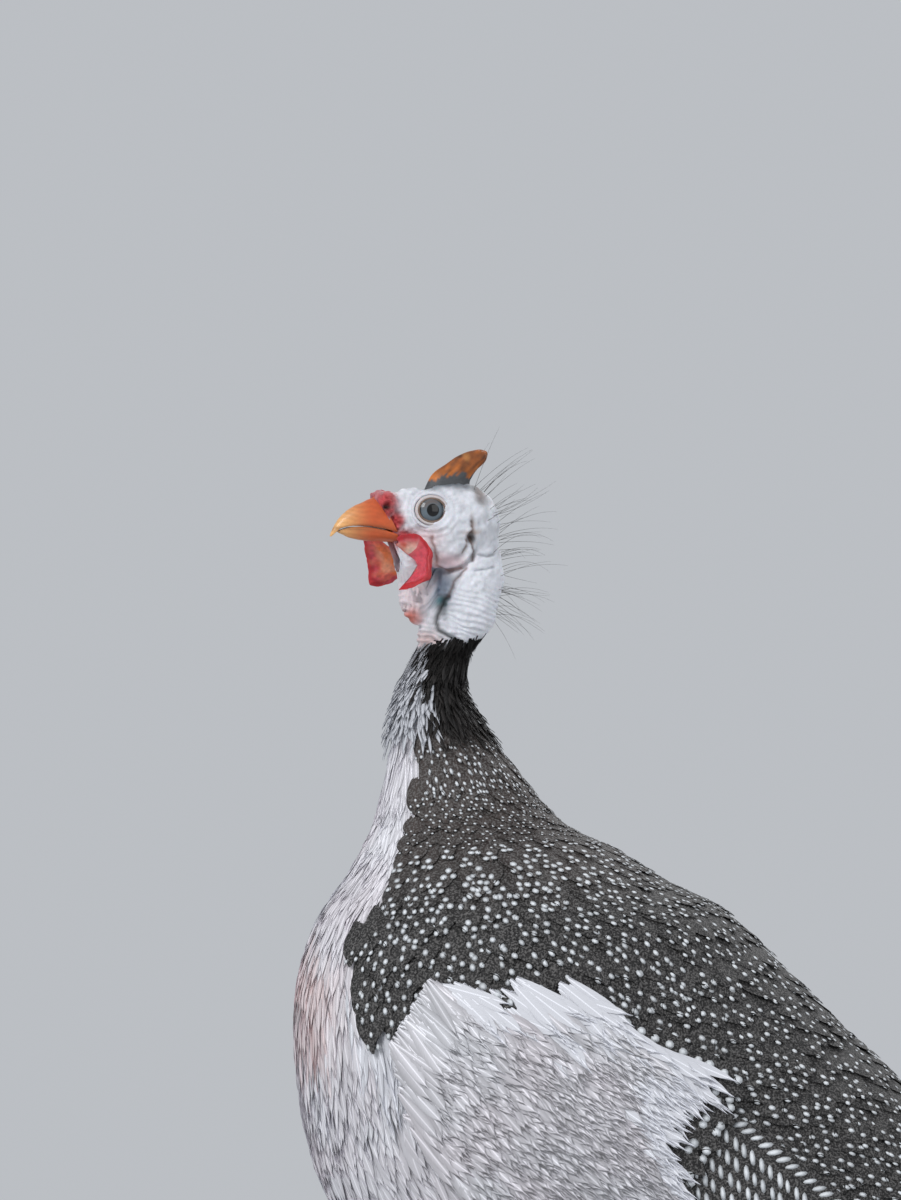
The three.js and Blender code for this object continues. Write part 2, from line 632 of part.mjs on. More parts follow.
function toeStation(toe, distance) {
  const pads = 0.35 * Math.cos((distance / 11.5) * 2 * Math.PI);
  const radius = TOE_RADIUS * (1 - 0.22 * (distance / (TOE_SPLIT + toe.length))) + pads;
  const droop = toe.lift * Math.max(0, 1 - (distance - TOE_SPLIT) / toe.length);
  return [...toePlace(toe, distance, TOE_RADIUS * 0.84 + droop), radius];
}

function addFoot(grownShank) {
  let foot = toSolid(limb([
    [ANKLE.x - 1, -STANCE, -3, 7.0], [ANKLE.x, -STANCE, 4, 7.4], [ANKLE.x + 1.5, -STANCE, 9, 5.8],
    [ANKLE.x + 4.0, -STANCE, 15, 4.8],
  ], 7, 12));
  for (const toe of TOES) {
    const stub = toe.name === 'back' ? 10 : TOE_SPLIT;
    foot = foot.add(toSolid(limb([0, 0.5, 1].map((s) => toeStation(toe, 2 + (stub - 2) * s)), 4, 10)));
    const start = stub + GAP;
    const end = stub + toe.length;
    const count = Math.max(4, Math.round(toe.length / 5));
    const pace = (end - start) / count;
    const steps = Array.from({ length: count + 1 }, (_, i) => toeStation(toe, start + pace * i));
    const digit = (extra) => toSolid(limb(steps, count + 2, 10, 1, extra));
    addPair(`toe_${toe.name}`, digit(0), 'shank');
    const scale = toe.name === 'back' ? 0.75 : 1;
    const claw = CLAW_STATIONS.map(([s, height, radius]) => [
      ...toePlace(toe, end + GAP + CLAW_LENGTH * scale * s, height * scale), radius * scale]);
    addPair(`claw_${toe.name}`, largest(toSolid(limb(claw, 6, 8)).subtract(digit(GAP))), 'claw');
  }
  addPair('foot', largest(foot.subtract(grownShank)), 'shank');
}

function addLegs(grownTorso) {
  const shank = (extra) => toSolid(limb([
    [HOCK.x - 0.8, -STANCE, HOCK.z + 5.6, 6.6], [HOCK.x + 0.5, -STANCE, HOCK.z - 1, 6.8],
    [HOCK.x - 2.5, -STANCE, HOCK.z - 14, 4.7], [(HOCK.x + ANKLE.x) / 2 + 1, -STANCE, 48, 4.2],
    [ANKLE.x + 7.6, -STANCE, 27, 4.4], [ANKLE.x + 4.2, -STANCE, 15.4, 4.8],
  ], 12, 12, 0.88, extra));
  const thigh = toSolid(limb([
    [-62, -36, 182, 30], [-46, -37, 158, 31], [-26, -36, 130, 23], [-8, -34, 107, 12.5],
    [HOCK.x - 1.2, -STANCE, HOCK.z + 6, 8.2],
  ], 12, 18)).subtract(grownTorso).subtract(shank(GAP));
  addPair('thigh', largest(thigh), 'thigh');
  addPair('shank', shank(0), 'shank');
  addFoot(shank(GAP));
}

addTorsoAndNeck();
addHead();
addCasque();
addBill();
addWattles();
const grownTorso = torsoGrown();
addWings(grownTorso);
addTail();
addLegs(grownTorso);

export default group;
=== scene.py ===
import math

import bpy
import numpy as np
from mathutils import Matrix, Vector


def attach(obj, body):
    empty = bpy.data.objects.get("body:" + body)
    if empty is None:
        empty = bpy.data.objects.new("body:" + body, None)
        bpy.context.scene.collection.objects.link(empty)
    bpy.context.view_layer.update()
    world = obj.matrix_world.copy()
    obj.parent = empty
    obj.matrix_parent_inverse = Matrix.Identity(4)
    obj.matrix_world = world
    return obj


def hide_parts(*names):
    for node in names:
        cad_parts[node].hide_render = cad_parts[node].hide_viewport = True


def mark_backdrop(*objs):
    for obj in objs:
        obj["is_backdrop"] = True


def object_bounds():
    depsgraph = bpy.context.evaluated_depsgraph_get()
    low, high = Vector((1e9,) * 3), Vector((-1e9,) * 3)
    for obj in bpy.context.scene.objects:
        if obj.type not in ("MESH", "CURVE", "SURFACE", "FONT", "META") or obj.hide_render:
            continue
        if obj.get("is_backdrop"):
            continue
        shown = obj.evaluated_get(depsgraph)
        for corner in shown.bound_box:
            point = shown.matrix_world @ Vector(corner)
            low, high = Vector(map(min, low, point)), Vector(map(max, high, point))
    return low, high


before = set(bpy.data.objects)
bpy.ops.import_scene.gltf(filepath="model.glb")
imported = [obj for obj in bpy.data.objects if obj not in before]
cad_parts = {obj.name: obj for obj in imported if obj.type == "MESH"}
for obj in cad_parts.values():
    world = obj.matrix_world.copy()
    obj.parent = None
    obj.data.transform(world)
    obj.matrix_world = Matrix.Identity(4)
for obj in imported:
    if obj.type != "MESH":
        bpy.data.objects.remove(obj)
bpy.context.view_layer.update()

# Skin: the bird's own body under its feathers, one closed surface from the bill's base over the bare head,
# neck and trunk to the rump, with the thighs. It is soft skin on flesh and shows only on the head.

# Ribs of the trunk, neck first: back x and z, belly x and z, half width, all in millimetres.
TRUNK = np.array([
    [-90.9, 384.2, -112.3, 385.3, 9.5], [-93.6, 371.3, -118.6, 370.5, 10.5],
    [-86.2, 358.0, -122.5, 357.2, 13.0], [-76.4, 344.0, -124.0, 344.0, 18.0],
    [-55.8, 319.8, -129.9, 319.0, 28.0], [-35.5, 308.9, -139.6, 299.5, 40.0],
    [-14.8, 296.4, -153.7, 276.9, 55.0], [8.6, 283.9, -160.3, 239.9, 68.0],
    [32.0, 261.3, -150.2, 179.4, 76.0], [55.4, 237.9, -118.2, 138.5, 79.0],
    [78.8, 215.3, -75.3, 117.0, 78.0], [100.2, 189.2, -24.6, 112.3, 69.0],
    [119.0, 160.7, 26.1, 113.1, 53.0], [131.4, 136.5, 72.9, 112.3, 35.0],
    [138.5, 117.0, 110.0, 104.5, 17.0],
])
# Ribs of the head from the bill's base back and down: crown x and z, throat x and z, from the head's middle.
HEAD_RIBS = np.array([
    [-34.0, 13.0, -23.4, -6.0], [-30.3, 15.0, -24.2, -8.6], [-22.5, 15.6, -23.4, -16.4],
    [-12.3, 18.7, -23.4, -23.4], [-2.0, 19.1, -23.0, -29.3], [7.0, 15.6, -21.7, -33.9],
    [12.7, 8.6, -18.5, -37.0], [16.8, 0.8, -14.4, -38.2], [18.9, -8.6, -12.7, -39.8],
    [18.5, -19.5, -12.7, -41.3], [16.0, -29.3, -13.5, -42.9], [11.9, -38.2, -14.8, -44.5],
    [5.8, -48.3, -15.6, -47.2],
])
# Swellings that run together into the head: middle x, y, z, radii along x, y, z, and tilt.
HEAD_FORMS = [
    (-1.0, 0.0, 2.0, 19.0, 12.3, 17.0, 0.0), (6.0, 0.0, -15.0, 12.6, 9.6, 22.0, 0.0),
    (-17.0, 0.0, 5.0, 14.0, 8.0, 11.3, 0.0), (-29.0, 2.6, 8.6, 5.6, 4.6, 6.2, 0.0),
    (-5.5, 2.2, -6.5, 11.5, 9.6, 9.8, 0.0), (-17.0, 0.0, -9.0, 9.0, 7.2, 11.0, 0.0),
    (-15.2, 0.0, -24.0, 7.8, 5.8, 13.2, 0.08), (3.2, 3.4, -28.0, 10.6, 7.6, 18.0, 0.22),
    (-4.2, 0.0, -44.0, 10.6, 9.4, 20.0, 0.0),
]
HEAD = np.array([-96.7, 0.0, 432.9])
HEAD_TURN = math.radians(18)
EYE = np.array([-12.5, 6.6, 7.6])
NOSTRIL = (-30.6, 8.6)
# In front of this x the upper neck is pale.
PALE_FRONT = -106.5
# Outline of the white area of the plumage seen from the side, x and z.
WHITE_AREA = np.array([
    [-108.8, 366.6], [-111.2, 351.0], [-112.3, 335.4], [-113.5, 319.8], [-121.3, 296.0], [-127.1, 279.2],
    [-136.5, 277.3], [-136.5, 254.7], [-133.0, 238.7], [-121.3, 239.5], [-120.5, 250.8], [-106.5, 253.5],
    [-104.5, 263.3], [-93.2, 253.5], [-70.6, 253.5], [-65.5, 244.9], [-51.5, 246.1], [-49.5, 256.6],
    [-41.3, 254.7], [-36.7, 244.1], [-27.3, 239.5], [-15.2, 232.8], [-4.7, 224.3], [-19.9, 220.4],
    [-24.6, 205.5], [-15.2, 190.3], [-6.6, 177.8], [0.0, 171.6], [24.0, 150.0], [60.0, 128.0],
    [100.0, 118.0], [130.0, 100.0], [130.0, -10.0], [-200.0, -10.0], [-200.0, 380.0], [-118.0, 380.0],
])
# Coloured areas of the bare head: colour, x and z from its middle, reach along x and z, strength.
# The near-black spots in the ear opening and the nostril are painted shade in those pits.
HEAD_COLOURS = [
    ("#e9b9bb", -14.0, -3.0, 6.0, 4.0, 0.40), ("#d9a3a6", -8.0, -12.5, 9.0, 3.6, 0.6),
    ("#8fa2b8", -8.0, -21.5, 4.5, 7.5, 0.85), ("#e2c4c6", -18.4, -25.0, 6.5, 11.0, 0.65),
    ("#cf5a3f", -19.6, -34.5, 4.4, 3.6, 0.9), ("#4fa3ad", -7.8, -28.0, 1.9, 1.7, 0.9),
    ("#c9a9a6", -12.5, -43.0, 5.0, 4.0, 0.8), ("#5b666c", -7.0, -29.5, 1.6, 4.5, 0.6),
    ("#2a2829", -2.0, -46.5, 9.0, 2.4, 0.95), ("#8a6a52", 3.2, -0.6, 3.8, 1.3, 0.7),
    ("#8a6a52", 3.4, 3.0, 0.9, 3.8, 0.55),
    # Painted shade: near-black in the ear opening and in the nostril.
    ("#3a2a22", 2.9, -3.6, 1.9, 2.0, 1.0), ("#241a16", -30.8, 8.6, 2.4, 1.0, 1.0),
    ("#5d4636", 8.4, 14.5, 3.2, 4.8, 0.8), ("#3b4650", -3.0, 17.5, 12.0, 2.4, 0.85),
]


def smooth(value, start, end):
    """0 before start and 1 after end, and 3t^2 - 2t^3 of the share t between them."""
    t = np.clip((value - start) / (end - start), 0, 1)
    return t * t * (3 - 2 * t)


def blend(base, other, share):
    """The base colour or place with that share of the other one instead."""
    return base * (1 - share) + share * other


def ring_of(count):
    """The angles of that many points evenly round a ring, in one row."""
    return np.linspace(0, 2 * np.pi, count, endpoint=False)[None, :]


def spline(points, t):
    """Catmull-Rom curve through evenly counted points: t is a point's number and may lie between two."""
    last = len(points) - 1
    t = np.clip(np.asarray(t, float), 0, last)
    first = np.minimum(t.astype(int), last - 1)
    f = (t - first)[..., None]
    a, b, c, d = (points[np.clip(first + k, 0, last)] for k in (-1, 0, 1, 2))
    return b + 0.5 * f * (c - a + f * (2 * a - 5 * b + 4 * c - d + f * (3 * b - 3 * c + d - a)))


def unit(vectors):
    """Each vector divided by its own length."""
    return vectors / np.maximum(np.linalg.norm(vectors, axis=-1, keepdims=True), 1e-9)


def turn(points):
    """Turns the head 18 degrees to its left about the upright line through it; the neck twists below it."""
    angle = HEAD_TURN * smooth(points[..., 2], 338, 398)
    x = points[..., 0] - HEAD[0]
    y = points[..., 1]
    turned_x = HEAD[0] + x * np.cos(angle) - y * np.sin(angle)
    turned_y = x * np.sin(angle) + y * np.cos(angle)
    return np.stack([turned_x, turned_y, points[..., 2]], -1)


def trunk(index, around, extra=0.0):
    """A rib's middle, plus its half height times the cosine and its half width times the sine of around,
    which is 0 on the back and pi on the belly. extra stands out from the surface."""
    index, around, extra = np.broadcast_arrays(index, around, extra)
    beyond = np.clip(index - 14, 0, 0.7)[..., None]
    rib = spline(TRUNK, index) + beyond * (TRUNK[14] - TRUNK[13])
    middle = (rib[..., 0:2] + rib[..., 2:4]) / 2
    up = (rib[..., 0:2] - rib[..., 2:4]) / 2
    length = np.maximum(np.linalg.norm(up, axis=-1), 1e-6)
    place = middle + up * ((length + extra) / length * np.cos(around))[..., None]
    fullness = 1 - 0.1 * np.cos(around) * smooth(index, 3, 6)
    y = (rib[..., 4] + extra) * np.sin(around) * fullness
    return turn(np.stack([place[..., 0], y, place[..., 1]], -1))


def head_distance(point):
    """Distance to the nearest swelling, with neighbours blended by a polynomial over 1.6 mm."""
    near = np.full(point.shape[:-1], 1e3)
    for x, y, z, wide, deep, tall, tilt in HEAD_FORMS:
        dx = point[..., 0] - x
        dz = point[..., 2] - z
        px = dx * math.cos(tilt) + dz * math.sin(tilt)
        pz = dz * math.cos(tilt) - dx * math.sin(tilt)
        offset = np.stack([px, np.abs(point[..., 1]) - y, pz], -1)
        size = np.array([wide, deep, tall])
        reach = np.linalg.norm(offset / size, axis=-1)
        slope = np.maximum(np.linalg.norm(offset / size ** 2, axis=-1), 1e-6)
        distance = reach * (reach - 1) / slope
        mix = np.clip(0.5 + 0.5 * (near - distance) / 1.6, 0, 1)
        near = blend(near, distance, mix) - 1.6 * mix * (1 - mix)
    return near


def head_point(index, around):
    """Where a ray from a head rib's middle, turned by around from crown to throat, leaves the head."""
    index, around = np.broadcast_arrays(index, around)
    rib = spline(HEAD_RIBS, index)
    middle = (rib[..., 0:2] + rib[..., 2:4]) / 2
    half = (rib[..., 0:2] - rib[..., 2:4]) / 2
    up = unit(half)
    start = np.stack([middle[..., 0], 0 * around, middle[..., 1]], -1)
    way = np.stack([up[..., 0] * np.cos(around), np.sin(around), up[..., 1] * np.cos(around)], -1)
    low = np.zeros(around.shape)
    high = np.full(around.shape, 34.0)
    for _ in range(22):
        reach = (low + high) / 2
        inside = head_distance(start + way * reach[..., None]) < 0
        low = np.where(inside, reach, low)
        high = np.where(inside, high, reach)
    form = start + way * low[..., None]
    oval = start + np.stack([half[..., 0] * np.cos(around), 9.5 * np.sin(around),
                             half[..., 1] * np.cos(around)], -1)
    share = smooth(index, 10.2, 12)[..., None]
    return blend(form, oval, share)


def mottle(points, size, seed):
    """Smooth random values from -1 to 1: random numbers on a lattice of that size, blended between the
    eight corners round each point."""
    table = np.random.default_rng(seed).uniform(-1, 1, (32, 32, 32))
    cell = np.floor(points / size).astype(int)
    part = points / size - cell
    part = part * part * (3 - 2 * part)
    total = np.zeros(points.shape[:-1])
    for corner in np.ndindex(2, 2, 2):
        share = np.prod(np.where(np.array(corner, bool), part, 1 - part), axis=-1)
        at = (cell + np.array(corner)) % 32
        total = total + share * table[at[..., 0], at[..., 1], at[..., 2]]
    return total


def ridge(distance, middle, width):
    """A bell curve of height 1 round the middle distance."""
    return np.exp(-((distance - middle) / width) ** 2)


def cere(x, z):
    """Share of red fleshy skin at a place of the head: the largest of three soft spots that run from the
    nostril down behind the bill to the corner of the mouth."""
    spots = [(-30.5, 10.0, 6.4, 6.8), (-26.6, 3.0, 3.6, 5.4), (-23.0, -2.5, 4.4, 3.6)]
    return np.max([np.exp(-(((x - a) / c) ** 2 + ((z - b) / d) ** 2) ** 2) for a, b, c, d in spots], axis=0)


# Creases of the bare head: colour, half width, and places on the line, x and z from the head's middle.
# The brown and near-black colours are painted shade in the folds, the first one along the rim of the throat
# lobe.
CREASES = [
    ("#1d2224", 0.75, [(-5.8, -25.9), (-7.6, -29.4), (-9.0, -32.4), (-10.2, -36.0), (-9.4, -39.0),
                       (-5.5, -41.2), (-1.5, -43.0)]),
    ("#8f7a78", 0.45, [(1.5, -15.0), (-0.6, -17.4), (-3.4, -20.0), (-5.8, -25.9)]),
    ("#6b4a3a", 0.45, [(2.9, 3.4), (3.2, -0.5), (2.0, -3.0), (3.6, -5.6), (4.6, -8.6), (3.8, -12.0)]),
    ("#9a8078", 0.4, [(0.4, -2.6), (1.4, -6.4), (0.2, -9.0)]),
    ("#a8827c", 0.45, [(-12.8, -2.5), (-12.0, -8.0), (-9.8, -13.6), (-5.6, -16.0), (-0.4, -14.6)]),
    ("#a9adb6", 0.4, [(4.6, -16.0), (9.0, -15.4), (13.0, -14.6)]),
    ("#a9adb6", 0.4, [(6.4, -9.6), (10.0, -10.4), (13.4, -9.6)]),
]


def crease(x, z, width, line):
    """Share of a crease at a place: exp(-(distance / width)^2) to the nearest stretch of its line."""
    nearest = np.full(np.shape(x), 1e9)
    for (x0, z0), (x1, z1) in zip(line, line[1:]):
        run_x = x1 - x0
        run_z = z1 - z0
        share = np.clip(((x - x0) * run_x + (z - z0) * run_z) / (run_x ** 2 + run_z ** 2), 0, 1)
        nearest = np.minimum(nearest, np.hypot(x - x0 - share * run_x, z - z0 - share * run_z))
    return np.exp(-(nearest / width) ** 2)


def head_relief(point):
    """How far the skin of the head stands out at a place: fine folds everywhere, cross wrinkles on the
    nape, rings round the eye, and pits with raised rims for eye, ear, nostril and mouth corner."""
    x = point[..., 0]
    z = point[..., 2]
    folds = 0.34 * mottle(point, 2.7, 11) + 0.26 * mottle(point, 1.3, 12)
    for _, width, line in CREASES:
        folds -= 0.7 * crease(x + 0.5 * mottle(point, 2.4, 16), z, 1.5 * width, line)
    edge = np.interp(z, [-45, -41, -36, -30, -22, -14], [4, -4, -6.5, -6, -2.5, 2])
    lobe = smooth(x - edge, -0.8, 0.8) * smooth(z, -46, -44.4) * (1 - smooth(z, -20, -9))
    folds += 1.3 * lobe
    cheek = np.hypot((x + 6.5) / 11.5, (z + 4) / 11)
    folds += smooth(-z, 5, 10) * (0.9 * ridge(cheek, 0.93, 0.09) - 1.0 * ridge(cheek, 1.1, 0.08))
    red = cere(x, z)
    folds += red * (0.5 + 0.9 * mottle(point, 2.3, 14) + 0.8 * mottle(point, 1.1, 15))
    wrinkle = np.sin(2 * np.pi * (z + 0.3 * x + 1.1 * mottle(point, 6.0, 13)) / 2.3)
    folds += 0.3 * smooth(-z, 18, 30) * wrinkle
    eye = np.hypot(x - EYE[0], z - EYE[2])
    folds += 0.22 * np.cos(2.5 * eye) * ridge(eye, 9.0, 2.4)
    folds -= 4.2 * (1 - smooth(eye, 3.7, 5.0))
    ear = np.hypot((x - 2.9) / 1.6, (z + 3.0) / 1.9)
    folds += 0.6 * ridge(ear, 1.6, 0.5) - 2.4 * ridge(ear, 0, 0.9)
    dx = x - NOSTRIL[0]
    dz = z - NOSTRIL[1]
    slit = np.hypot((0.94 * dx + 0.34 * dz) / 2.7, (0.94 * dz - 0.34 * dx) / 1.1)
    folds += 0.5 * ridge(slit, 1.7, 0.6) - 1.5 * ridge(slit, 0, 1.0)
    share = np.clip(((x + 28) * 9.5 - (z + 1.4) * 3.8) / 104.7, 0, 1)
    gape = np.hypot(x + 28 - 9.5 * share, z + 1.4 + 3.8 * share)
    folds += 0.55 * ridge(gape, 1.2, 0.6) - 0.8 * ridge(gape, 0, 0.5)
    return folds


def rgb(code):
    """Linear red, green and blue, and alpha 1, of a screen colour."""
    screen = np.array([int(code[i:i + 2], 16) for i in (1, 3, 5)]) / 255
    linear = np.where(screen < 0.04045, screen / 12.92, ((screen + 0.055) / 1.055) ** 2.4)
    return np.append(linear, 1.0)


def is_white(points):
    """Whether a place is in the white area: the number of outline edges beyond it on a level line is odd.
    The outline wanders by about 2 mm."""
    x = points[..., 0] + 2.4 * mottle(points, 7.0, 5)
    z = points[..., 2] + 2.4 * mottle(points, 7.0, 6)
    inside = np.zeros(x.shape, bool)
    for (x0, z0), (x1, z1) in zip(WHITE_AREA, np.roll(WHITE_AREA, -1, axis=0)):
        rise = z1 - z0 if z1 != z0 else 1.0
        inside ^= ((z0 > z) != (z1 > z)) & (x < x0 + (z - z0) * (x1 - x0) / rise)
    spot = ((x + 61.6) / 6) ** 2 + ((z - 251.6) / 3.7) ** 2 < 1
    return inside | spot


def plumage_tint(points):
    """Colour of the plumage at a place; alpha is how much fine speckling the feathers carry there."""
    dark = rgb("#1e1d1d") * (1 + 0.22 * mottle(points, 11.0, 21))[..., None]
    brown = smooth(points[..., 2], 285, 325)[..., None]
    dark = blend(dark, rgb("#3a322f"), brown)
    pale = rgb("#d6d7dc") * (1 + 0.05 * mottle(points, 9.0, 22))[..., None]
    blush = (0.10 + 0.10 * mottle(points, 14.0, 23))[..., None]
    pale = blend(pale, rgb("#c9a6ad"), blush)
    for x, z, reach in ((-149.0, 273.0, 9.0), (-153.0, 256.0, 7.0)):
        stain = 0.3 * np.exp(-((points[..., 0] - x) ** 2 + (points[..., 2] - z) ** 2) / reach ** 2)
        pale = pale + stain[..., None] * (rgb("#d58e76") - pale)
    white = is_white(points)[..., None]
    tint = np.where(white, pale, dark)
    tint[..., 3] = np.where(white[..., 0], 0.0, 1.0)
    return tint


def tube_faces(rows, sides):
    """Triangles of rings of points, closed round, with a fan to one more point at each end."""
    i, j = np.meshgrid(np.arange(rows - 1), np.arange(sides), indexing="ij")
    a = i * sides + j
    b = a + sides
    d = i * sides + (j + 1) % sides
    c = d + sides
    walls = np.concatenate([np.stack([a, b, c], -1).reshape(-1, 3), np.stack([a, c, d], -1).reshape(-1, 3)])
    j = np.arange(sides)
    k = (j + 1) % sides
    base = (rows - 1) * sides
    start = np.stack([j, k, 0 * j + rows * sides], -1)
    end = np.stack([base + k, base + j, 0 * j + rows * sides + 1], -1)
    return np.concatenate([walls, start, end])


def tube(rings, tint):
    """A closed tube from rings of points with one colour for each point."""
    rows, sides = rings.shape[:2]
    flat = rings.reshape(-1, 3)
    colours = np.broadcast_to(tint, (rows, sides, 4)).reshape(-1, 4)
    return {
        "points": np.concatenate([flat, rings[:1].mean(axis=1), rings[-1:].mean(axis=1)]),
        "tint": np.concatenate([colours, colours[:1], colours[-1:]]),
        "faces": tube_faces(rows, sides),
    }


def mirrored(part):
    """The same part on the bird's other side, its triangles turned round."""
    return {**part, "points": part["points"] * [1, -1, 1], "faces": part["faces"][:, ::-1]}


def add_piece(name, parts, look, nodes=()):
    """One object from parts: its points in metres, triangles, and the values each part carries."""
    counts = [len(p["points"]) for p in parts]
    starts = np.cumsum([0] + counts[:-1])
    faces = np.concatenate([p["faces"] + s for p, s in zip(parts, starts)])
    mesh = bpy.data.meshes.new(name)
    mesh.vertices.add(sum(counts))
    points = np.concatenate([p["points"] for p in parts]) * 0.001
    mesh.vertices.foreach_set("co", points.astype(np.float32).ravel())
    mesh.loops.add(faces.size)
    mesh.loops.foreach_set("vertex_index", faces.astype(np.int32).ravel())
    mesh.polygons.add(len(faces))
    mesh.polygons.foreach_set("loop_start", np.arange(0, faces.size, 3, dtype=np.int32))
    mesh.polygons.foreach_set("use_smooth", np.ones(len(faces), bool))
    tint = np.concatenate([p["tint"] for p in parts]).astype(np.float32)
    mesh.attributes.new("tint", "FLOAT_COLOR", "POINT").data.foreach_set("color", tint.ravel())
    if "web" in parts[0]:
        web = np.concatenate([p["web"] for p in parts]).astype(np.float32)
        mesh.attributes.new("web", "FLOAT_VECTOR", "POINT").data.foreach_set("vector", web.ravel())
        bake = np.concatenate([p["bake"] for p in parts]).astype(np.float32)
        mesh.uv_layers.new(name="OFBake").data.foreach_set("uv", bake[faces.ravel()].ravel())
    mesh.update(calc_edges=True)
    if "rim" in parts[0]:
        rim = np.concatenate([p["rim"] for p in parts])
        ends = np.empty(2 * len(mesh.edges), np.int32)
        mesh.edges.foreach_get("vertices", ends)
        mesh.edges.foreach_set("use_edge_sharp", rim[ends].reshape(-1, 2).all(axis=1))
    mesh.materials.append(look)
    piece = bpy.data.objects.new(name, mesh)
    bpy.context.collection.objects.link(piece)
    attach(piece, "root")
    if nodes:
        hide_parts(*nodes)


def add_node(tree, kind, inputs=None, **settings):
    """A shader node with its settings, and its inputs set to values or linked to sockets."""
    made = tree.nodes.new(kind)
    for key, value in settings.items():
        setattr(made, key, value)
    for key, value in (inputs or {}).items():
        if isinstance(value, bpy.types.NodeSocket):
            tree.links.new(value, made.inputs[key])
        else:
            made.inputs[key].default_value = value
    return made


def noise(tree, scale, detail=3.0):
    """Noise over the object's own coordinates, in cells per metre."""
    place = add_node(tree, "ShaderNodeTexCoord").outputs["Object"]
    made = add_node(tree, "ShaderNodeTexNoise", {"Vector": place, "Scale": scale, "Detail": detail})
    return made.outputs["Fac"]


def shade(tree, colour, value, low, high):
    """The colour times a factor that runs from low to high with the value."""
    factor = add_node(tree, "ShaderNodeMapRange", {"Value": value, "To Min": low, "To Max": high})
    grey = add_node(tree, "ShaderNodeCombineColor", {0: factor.outputs[0], 1: factor.outputs[0],
                                                     2: factor.outputs[0]})
    made = add_node(tree, "ShaderNodeMix", {0: 1.0, 6: colour, 7: grey.outputs[0]},
                    data_type="RGBA", blend_type="MULTIPLY")
    return made.outputs[2]


def material(name, build, constants, bump=(0.3, 0.0005)):
    """A material of one shader. build(tree) returns the sockets of its colour, roughness and height."""
    made = bpy.data.materials.new(name)
    made.use_nodes = True
    tree = made.node_tree
    shader = tree.nodes["Principled BSDF"]
    colour, roughness, height = build(tree)
    tree.links.new(colour, shader.inputs["Base Color"])
    tree.links.new(roughness, shader.inputs["Roughness"])
    relief = add_node(tree, "ShaderNodeBump", {"Strength": bump[0], "Distance": bump[1], "Height": height})
    tree.links.new(relief.outputs[0], shader.inputs["Normal"])
    for key, value in constants.items():
        shader.inputs[key].default_value = value
    return made


def tinted(low, high, scale, rough_low, rough_high):
    """A recipe for material(): the painted colour with soft blotches, and a roughness that varies."""
    def build(tree):
        colour = add_node(tree, "ShaderNodeAttribute", attribute_name="tint").outputs["Color"]
        grain = noise(tree, scale)
        fine = noise(tree, 3.2 * scale, 4.0)
        rough = add_node(tree, "ShaderNodeMapRange",
                         {"Value": fine, "To Min": rough_low, "To Max": rough_high})
        return shade(tree, colour, grain, low, high), rough.outputs[0], fine
    return build


rows = np.linspace(0, 12, 170)[:, None]
around = (np.arange(160) * 2 * np.pi / 160)[None, :]
head = head_point(rows, around)
along_way = np.gradient(head, axis=0)
round_way = np.roll(head, -1, axis=1) - np.roll(head, 1, axis=1)
bare = (smooth(rows, 0.0, 0.5) * (1 - smooth(rows, 10.6, 11.8)))[..., None]
head_colours = np.broadcast_to(rgb("#e3e5ec"), head.shape[:2] + (4,))
for code, x, z, reach_x, reach_z, strength in HEAD_COLOURS:
    wander_x = head[..., 0] + 0.9 * mottle(head, 3.0, 31)
    wander_z = head[..., 2] + 0.9 * mottle(head, 3.0, 32)
    away = ((wander_x - x) / reach_x) ** 2 + ((wander_z - z) / reach_z) ** 2
    share = (strength * np.exp(-away ** 1.4))[..., None]
    head_colours = blend(head_colours, rgb(code), share)
# Painted shade: the darker crease colours are laid along the folds, the darkest along the rim of the throat
# lobe.
for code, width, line in CREASES:
    share = 0.85 * crease(head[..., 0] + 0.5 * mottle(head, 2.4, 16), head[..., 2], width, line)[..., None]
    head_colours = blend(head_colours, rgb(code), share)
head_colours = head_colours * (1 + 0.09 * mottle(head, 1.6, 33))[..., None]
relief = head_relief(head)[..., None]
red = cere(wander_x, wander_z)[..., None]
flesh = rgb("#b03a3e") * (1 + 0.3 * mottle(head, 1.5, 34))[..., None]
# Painted shade: the red flesh turns near-black in the nostril's pit.
pit_x = (head[..., 0] - NOSTRIL[0]) / 2.4
pit_z = (head[..., 2] - NOSTRIL[1]) / 1.1
nostril_shade = ridge(np.hypot(pit_x, pit_z), 0, 1.0)[..., None]
flesh = blend(flesh, rgb("#1c100d"), nostril_shade)
head_colours = blend(head_colours, flesh, red)
# Painted shade: the colour is darker where the relief sinks, in the folds, creases and the pits of eye, ear,
# nostril and mouth corner, and lighter where it stands out.
head_colours = head_colours * (0.72 + 0.32 * smooth(relief, -0.6, 0.4))
hairy = smooth(rows, 11.0, 12.0)[..., None]
head_colours = blend(head_colours, rgb("#2a2726"), hairy)
head = head + unit(np.cross(along_way, round_way)) * relief * bare
head_rings = turn(head + HEAD)
rows = np.linspace(0, 14, 131)[1:, None]
trunk_rings = trunk(rows, around, -2.6 * smooth(rows, 0.3, 3))
trunk_colours = plumage_tint(trunk_rings)
trunk_colours[..., 3] = 1
downy = (1 - smooth(rows, 1.6, 2.6))[..., None]
under = np.where(trunk_rings[..., :1] < PALE_FRONT, rgb("#9a9ca2"), rgb("#1f1c1b"))
trunk_colours = blend(trunk_colours, under, downy)
skin_parts = [tube(np.concatenate([head_rings, trunk_rings]), np.concatenate([head_colours, trunk_colours]))]


